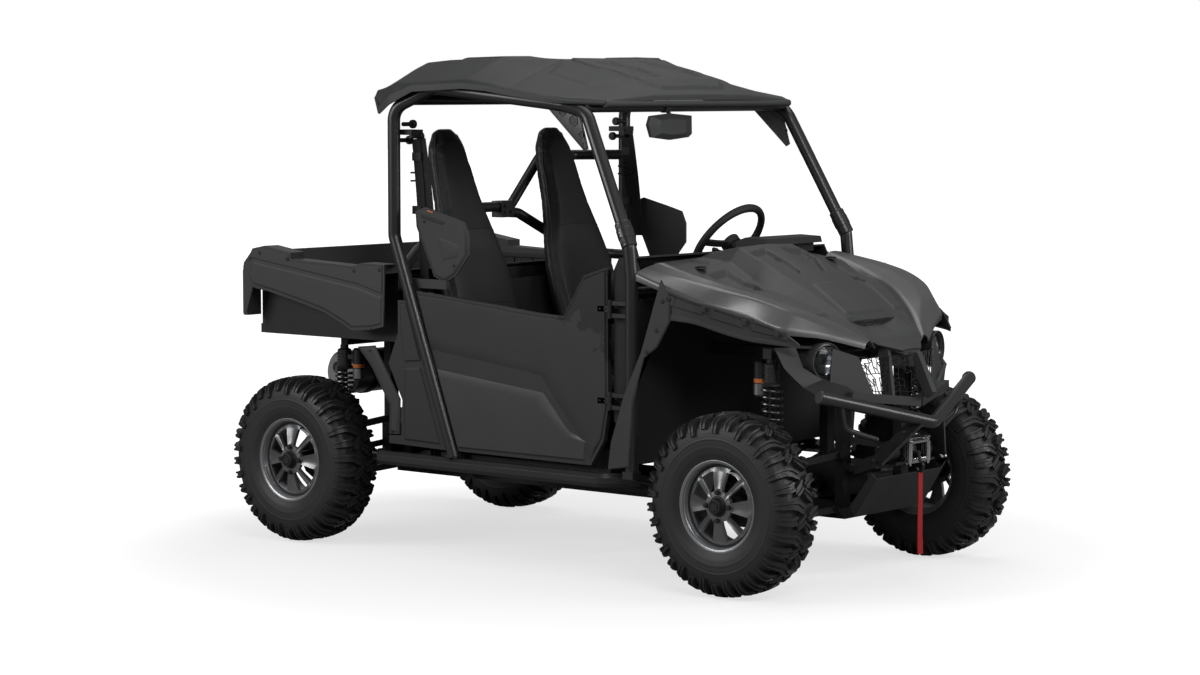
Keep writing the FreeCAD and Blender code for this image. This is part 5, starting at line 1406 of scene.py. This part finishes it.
def pad(name, part, shift, cap):
    # remeshed into even quads, then swollen as cloth under pressure with its movement capped
    points, faces = moved(part, shift)
    mesh = bpy.data.meshes.new(name)
    mesh.from_pydata(toFrame(points).tolist(), [], faces)
    piece = bpy.data.objects.new(name, mesh)
    bpy.context.scene.collection.objects.link(piece)
    bpy.context.view_layer.objects.active = piece
    coarse = piece.modifiers.new("coarse", "REMESH")
    coarse.mode = "VOXEL"
    coarse.voxel_size = padding["voxel"]
    bpy.context.view_layer.update()
    depsgraph = bpy.context.evaluated_depsgraph_get()
    mesh = bpy.data.meshes.new_from_object(piece.evaluated_get(depsgraph))
    piece.modifiers.clear()
    piece.data = mesh
    count = len(mesh.vertices)
    before = np.empty(count * 3)
    mesh.vertices.foreach_get("co", before)
    cloth = piece.modifiers.new("swell", "CLOTH")
    cloth.settings.use_pressure = True
    cloth.settings.uniform_pressure_force = padding["pressure"]
    cloth.settings.effector_weights.gravity = 0
    cloth.settings.mass = padding["mass"]
    scene = bpy.context.scene
    for number in range(1, padding["frames"] + 1):
        scene.frame_set(number)
    depsgraph = bpy.context.evaluated_depsgraph_get()
    swollen = bpy.data.meshes.new_from_object(piece.evaluated_get(depsgraph))
    after = np.empty(count * 3)
    swollen.vertices.foreach_get("co", after)
    step = (after - before).reshape(-1, 3)
    size = np.linalg.norm(step, axis=1, keepdims=True)
    step *= np.minimum(1, cap * 0.001 / np.maximum(size, 1e-9))
    piece.modifiers.clear()
    mesh.vertices.foreach_set("co", (before.reshape(-1, 3) + step).ravel())
    scene.frame_set(1)
    mesh.materials.clear()
    mesh.materials.append(library["seatVinyl"])
    mesh.polygons.foreach_set("use_smooth", np.ones(len(mesh.polygons), bool))
    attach(piece, "vehicle_body")
    return piece


def onPad(piece, points, lift=0.0):
    # points moved to the nearest place on a pad's surface
    found = []
    for point in toFrame(points):
        hit, place, normal, index = piece.closest_point_on_mesh(Vector(point))
        found.append(np.array(place + normal * lift * 0.001) * 1000 + [middleX, 0, 0])
    return np.array(found)


def seatTrim(backPad, basePad, shift):
    # piping round the back's face, cross seams, and the hard tray below
    made = []
    rise, rake = seatSize["rise"], seatSize["rake"]
    shares = np.linspace(0.03, 1.0, 26)
    half = np.interp(shares, [0, 0.32, 0.45, 0.52, 0.60, 0.69, 0.78, 0.87, 0.95, 1.0],
                     [206, 216, 212, 196, 168, 144, 130, 118, 102, 64])
    x = seatSize["foot"] - rise * shares * rake + 2
    z = 730 + rise * shares
    for side in (-1, 1):
        line = onPad(backPad, np.stack([x - 8, side * (half + 4), z], -1) + shift)
        made.append(carried(cutCorners(line, 9, 1), circle(3.0, 8), (0, 1, 0)))
    for share, reach in ((0.30, 205), (0.60, 135)):
        y = np.linspace(-reach, reach, 15)
        bow = 8 * (1 - (y / reach) ** 2)
        line = np.stack([seatSize["foot"] - rise * share * rake + 12 + 0 * y, y,
                         730 + rise * share + bow], -1) + shift
        made.append(carried(onPad(backPad, line), circle(2.0, 8), (1, 0, 0)))
    edge = np.array([(-300, 226, 742), (-100, 228, 752), (100, 228, 766), (170, 222, 764),
                     (196, 190, 752), (200, 0, 748), (196, -190, 752), (170, -222, 764),
                     (100, -228, 766), (-100, -228, 752), (-300, -226, 742)], float)
    edge = onPad(basePad, roundPath(edge, 40, 5) + shift)
    made.append(carried(edge, circle(3.0, 8), (0, 0, 1)))
    made.append(painted(moved(plate([(-356, 618.3), (196, 618.3), (202, 650), (-358, 650)], -222, 222),
                              shift), "blackPlastic"))
    return made


for name, side in (("right", -1), ("left", 1)):
    shift = (0, side * seatSize["side"], 0)
    backPad = pad("seatBackPad_" + name, seatBack(9), shift, 16)
    basePad = pad("seatBasePad_" + name, seatBase(8), shift, 14)
    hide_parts("seat_" + name)
    addPiece("seatTrim_" + name, seatTrim(backPad, basePad, shift), "seatPiping")
print("seats")


def makeGuard():
    outline = [(-451, 1371), (-456, 1433), (-401, 1452), (-257, 1416), (-185, 1396), (-162, 1344),
               (-162, 1260), (-234, 1174), (-294, 1145), (-354, 1169)]
    made = [plate(outline, 708, 718), plate(shrunk(outline, 3), 717, 724, "xz", shrunk(outline, 16))]
    slot = [(-424, 1427), (-418, 1408), (-296, 1380), (-282, 1392)]
    made.append(painted(raised(slot, 723, 3, 4), "blackPlastic"))
    made.append(painted(raised([(-330, 1336), (-210, 1306), (-214, 1250), (-300, 1232)], 723, 4, 12),
                        "flarePlastic"))
    made.append(painted(plate([(-384, 1441), (-352, 1433), (-352, 1427), (-384, 1435)], 723, 725.5),
                        "orangeBand"))
    for x, z in ((-400, 1392), (-236, 1216)):
        made += finished(screw((x, 722, z), (0, 1, 0), 8), "blackPlastic")
    made.append(block(-496, -282, 708, 723.6, 1118, 1156))
    return made


addPiece("guardPads", bothSides(makeGuard()), "flarePlastic", replaces=("shoulder_guards",), bevel=2.2,
         rounds=3, limit=24)


def makeBelt():
    # webbing with a slight bow between a guide with three knobs and a reel
    run = np.linspace(0, 1, 13)[:, None]
    line = np.array([-484, 682, 1730.0]) * (1 - run) + np.array([-436, 682, 1060.0]) * run
    line[:, 0] += 9 * np.sin(run[:, 0] * math.pi)
    web = [(-23, -1.2), (-22, -1.8), (22, -1.8), (23, -1.2), (23, 1.2), (22, 1.8), (-22, 1.8), (-23, 1.2)]
    made = [painted(carried(line, web, (0, 1, 0)), "beltCloth")]
    second = line + [26, -5, 0]
    second[:, 0] += 14 * np.sin(run[:, 0] * math.pi)
    made.append(painted(carried(second[:9], [(-23, -1.2), (23, -1.2), (23, 1.2), (-23, 1.2)],
                                (0, 1, 0)), "beltCloth"))
    made.append(block(-556, -470, 654, 724.7, 1746, 1768))
    for x, z in ((-540, 1724), (-520, 1790), (-478, 1740)):
        made.append(spun([(652, 15), (655, 18), (668, 18), (672, 15)], 20, (x, 0, z)))
        made.append(spun([(664, 9), (722, 9)], 12, (x, 0, z)))
    made.append(carried(roundPath([(-520, 676, 1590), (-440, 676, 1590), (-430, 676, 1560),
                                   (-520, 676, 1556)], 12, 4), circle(4, 10), (0, 1, 0)))
    for z in (1640, 1420):
        made.append(block(-500, -452, 674, 690, z, z + 34))
    made.append(block(-464, -416, 655, 722, 1000, 1066))
    made.append(spun([(652, 22), (657, 25), (700, 25)], 24, (-440, 0, 1034)))
    return made


addPiece("beltSets", bothSides(makeBelt()), "blackPlastic", replaces=("seat_belts",), bevel=1.5, limit=30)

columnTilt = math.radians(38)
columnAxis = np.array([-math.cos(columnTilt), 0, math.sin(columnTilt)])
wheelMiddle = np.array([342, 360, 1296.0])


def makeWheelRing():
    # thick ring with three slight swells, on three spokes with a boss
    up = np.array([math.sin(columnTilt), 0, math.cos(columnTilt)])
    side = np.array([0, 1.0, 0])
    turns = np.arange(72) * 2 * math.pi / 72
    thick = 17.2 + 1.2 * np.cos(3 * turns)
    around = np.arange(16) * 2 * math.pi / 16
    out = np.cos(turns)[:, None] * up + np.sin(turns)[:, None] * side
    wide = thick[:, None, None] * 0.92 * np.cos(around)[None, :, None]
    high = thick[:, None, None] * np.sin(around)[None, :, None]
    rings = wheelMiddle + out[:, None] * (178 + wide) + columnAxis * high
    made = [lofted(rings, True)]
    low = wheelMiddle - columnAxis * 20
    for spoke, wide in ((side * 168, 30), (-side * 168, 30), (-up * 168, 36)):
        made.append(carried([low, low + spoke * 0.5 + columnAxis * 6, wheelMiddle + spoke],
                            [(-wide / 2, -6), (wide / 2, -6), (wide / 2, 6), (-wide / 2, 6)], columnAxis))
    hub = [(-34, 0.1), (-34, 40), (-8, 44), (-2, 40), (2, 26), (3, 0.1)]
    made.append(lathe(hub, 32, False, wheelMiddle, columnAxis))
    return made


addPiece("steeringRing", makeWheelRing(), "dashPlastic", "steering_wheel", ("steering_wheel",),
         bevel=1.5, limit=35)
lever = [painted(capsule((404, 330, 1236), (372, 236, 1262), 6), "blackPlastic"),
         painted(capsule((374, 242, 1260), (366, 220, 1266), 10), "blackPlastic")]
buckles = []
for y in (-96, 96):
    buckles += [block(-250, -226, y - 14, y + 14, 700, 822),
                painted(block(-247, -229, y - 9, y + 9, 820, 827), "buckleRed")]
addPiece("cabinSmalls", lever + buckles, "blackPlastic", bevel=1.5)
dressed("dashboard", "dashPlastic", bevel=5.0, rounds=3)


def makeMirror():
    # eight-sided head; its front is pressed into a flat middle and sloping triangles
    outline = np.array([(-284, 1790), (-268, 1826), (-140, 1836), (0, 1826), (2, 1752), (-20, 1738),
                        (-140, 1728), (-262, 1740)], float)
    middle = outline * 0.6 + outline.mean(0) * 0.4
    made = [plate(outline, 410, 424, "yz"), plate(outline, 424, 438, "yz", middle)]
    made.append(painted(plate(shrunk(outline, 6), 410, 408, "yz", shrunk(outline, 8)), "mirrorGlass"))
    made += [capsule((421, -140, 1830), (406, -150, 1858), 8),
             capsule((405, -170, 1862), (405, -130, 1862), 24)]
    return made


addPiece("cabinMirror", makeMirror(), "hoodPlastic", replaces=("mirror",), bevel=1.2, limit=14)
print("cabin")

# running gear
dressedNodes = {"chassis_frame": ("blackSteel", 2.0), "side_sills": ("tubeSatin", 2.0),
                "floor_pan": ("blackPlastic", 2.5), "inner_liners": ("linerPlastic", 2.5),
                "suspension_arms": ("blackSteel", 2.5), "front_knuckle_right": ("castSteel", 2.5),
                "front_knuckle_left": ("castSteel", 2.5), "rear_knuckles": ("castSteel", 2.5),
                "steering_rack": ("blackSteel", 1.0), "drive_shafts": ("castSteel", 3.0),
                "engine_block": ("engineGrey", 6.0), "skid_plate": ("skidPlastic", 2.0)}
nodeBody = {"front_knuckle_right": "knuckle_right", "front_knuckle_left": "knuckle_left",
            "steering_rack": "steering_rack"}
for node, (finish, edge) in dressedNodes.items():
    dressed(node, finish, nodeBody.get(node, "vehicle_body"), edge, 2)


def makeShock(foot, head, reservoirX):
    # coil as a tube on a helix round the damper, with a ribbed canister beside it
    foot, head = np.asarray(foot, float), np.asarray(head, float)
    run = (head - foot) / np.linalg.norm(head - foot)
    length = np.linalg.norm(head - foot)
    made = [painted(spun([(0, 16), (30, 18), (36, 38), (42, 38), (44, 14), (length - 96, 12)], 24, foot,
                         run), "castSteel")]
    made.append(spun([(length - 104, 38), (length - 96, 40), (length - 88, 30), (length - 20, 30),
                      (length - 14, 18), (length, 18)], 28, foot, run))
    for k in range(4):
        made.append(lathe([(length - 84 + 14 * k, 29), (length - 82 + 14 * k, 33),
                           (length - 78 + 14 * k, 33), (length - 76 + 14 * k, 29)], 28, True, foot, run))
    turns = 10
    t = np.linspace(0, 1, int(turns * 18))
    u = np.cross(run, [0, 1, 0])
    u /= np.linalg.norm(u)
    w = np.cross(run, u)
    angle = 2 * math.pi * turns * t
    along = (48 + (length - 160) * t)[:, None]
    coil = foot + run * along + 38 * (np.cos(angle)[:, None] * u + np.sin(angle)[:, None] * w)
    made.append(painted(carried(coil, circle(6.2, 10), run), "springGloss"))
    base, up = (reservoirX, head[1] + 4, head[2] - 140), (0, 0, 1)
    can = [(0, 0.1), (0, 22), (6, 24.5), (34, 24.5), (34, 26), (44, 26), (44, 24.5), (96, 24.5),
           (96, 26), (104, 26), (104, 24.5), (124, 24.5), (130, 20), (130, 0.1)]
    made.append(painted(lathe(can, 28, False, base, up), "blackSteel"))
    made.append(painted(spun([(46, 25.2), (62, 25.2)], 28, base, up), "orangeBand"))
    made.append(painted(spun([(-8, 20), (0, 27), (42, 27)], 28, base, up), "bareSteel"))
    made.append(carried([(head[0], head[1], head[2] - 50), (reservoirX, head[1] + 4, head[2] - 50)],
                        [(-8, -10), (8, -10), (8, 10), (-8, 10)], (0, 0, 1)))
    return made


shocks = makeShock((1192, 470, 470), (1192, 486, 902), 1144) + makeShock((-1108, 470, 470),
        (-1108, 474, 832), -1018)
addPiece("shockSets", bothSides(shocks), "springGloss", replaces=("shock_absorbers",), sharp=35)


def makeMuffler():
    can = [(-330, 0.1), (-330, 84), (-322, 89), (-320, 92), (-314, 98), (-306, 98), (-303, 95),
           (303, 95), (306, 98), (314, 98), (320, 92), (322, 89), (330, 84), (330, 0.1)]
    made = [lathe(can, 48, False, (-1270, 0, 690))]
    made.append(painted(tube([(-1210, 0, 680), (-1060, 0, 680), (-960, 0, 620), (-884.3, 0, 620)], 22,
                             60, 20), "bareSteel"))
    made += [painted(block(-1182, -1160.3, s * 200 - 14, s * 200 + 14, 672, 708), "blackSteel")
             for s in (-1, 1)]
    for y in (-200, 200):
        made.append(painted(lathe([(y - 14, 94), (y - 14, 100), (y + 14, 100), (y + 14, 94)], 48, True,
                                  (-1270, 0, 690)), "blackSteel"))
    made.append(painted(spun([(-336, 26), (-328, 28)], 24, (-1290, 0, 712)), "blackSteel"))
    made.append(painted(spun([(-337, 20), (-333, 20)], 24, (-1290, 0, 712)), "blackPlastic"))
    return made


addPiece("mufflerCan", makeMuffler(), "silverCan", replaces=("muffler",), sharp=35)
print("running gear")
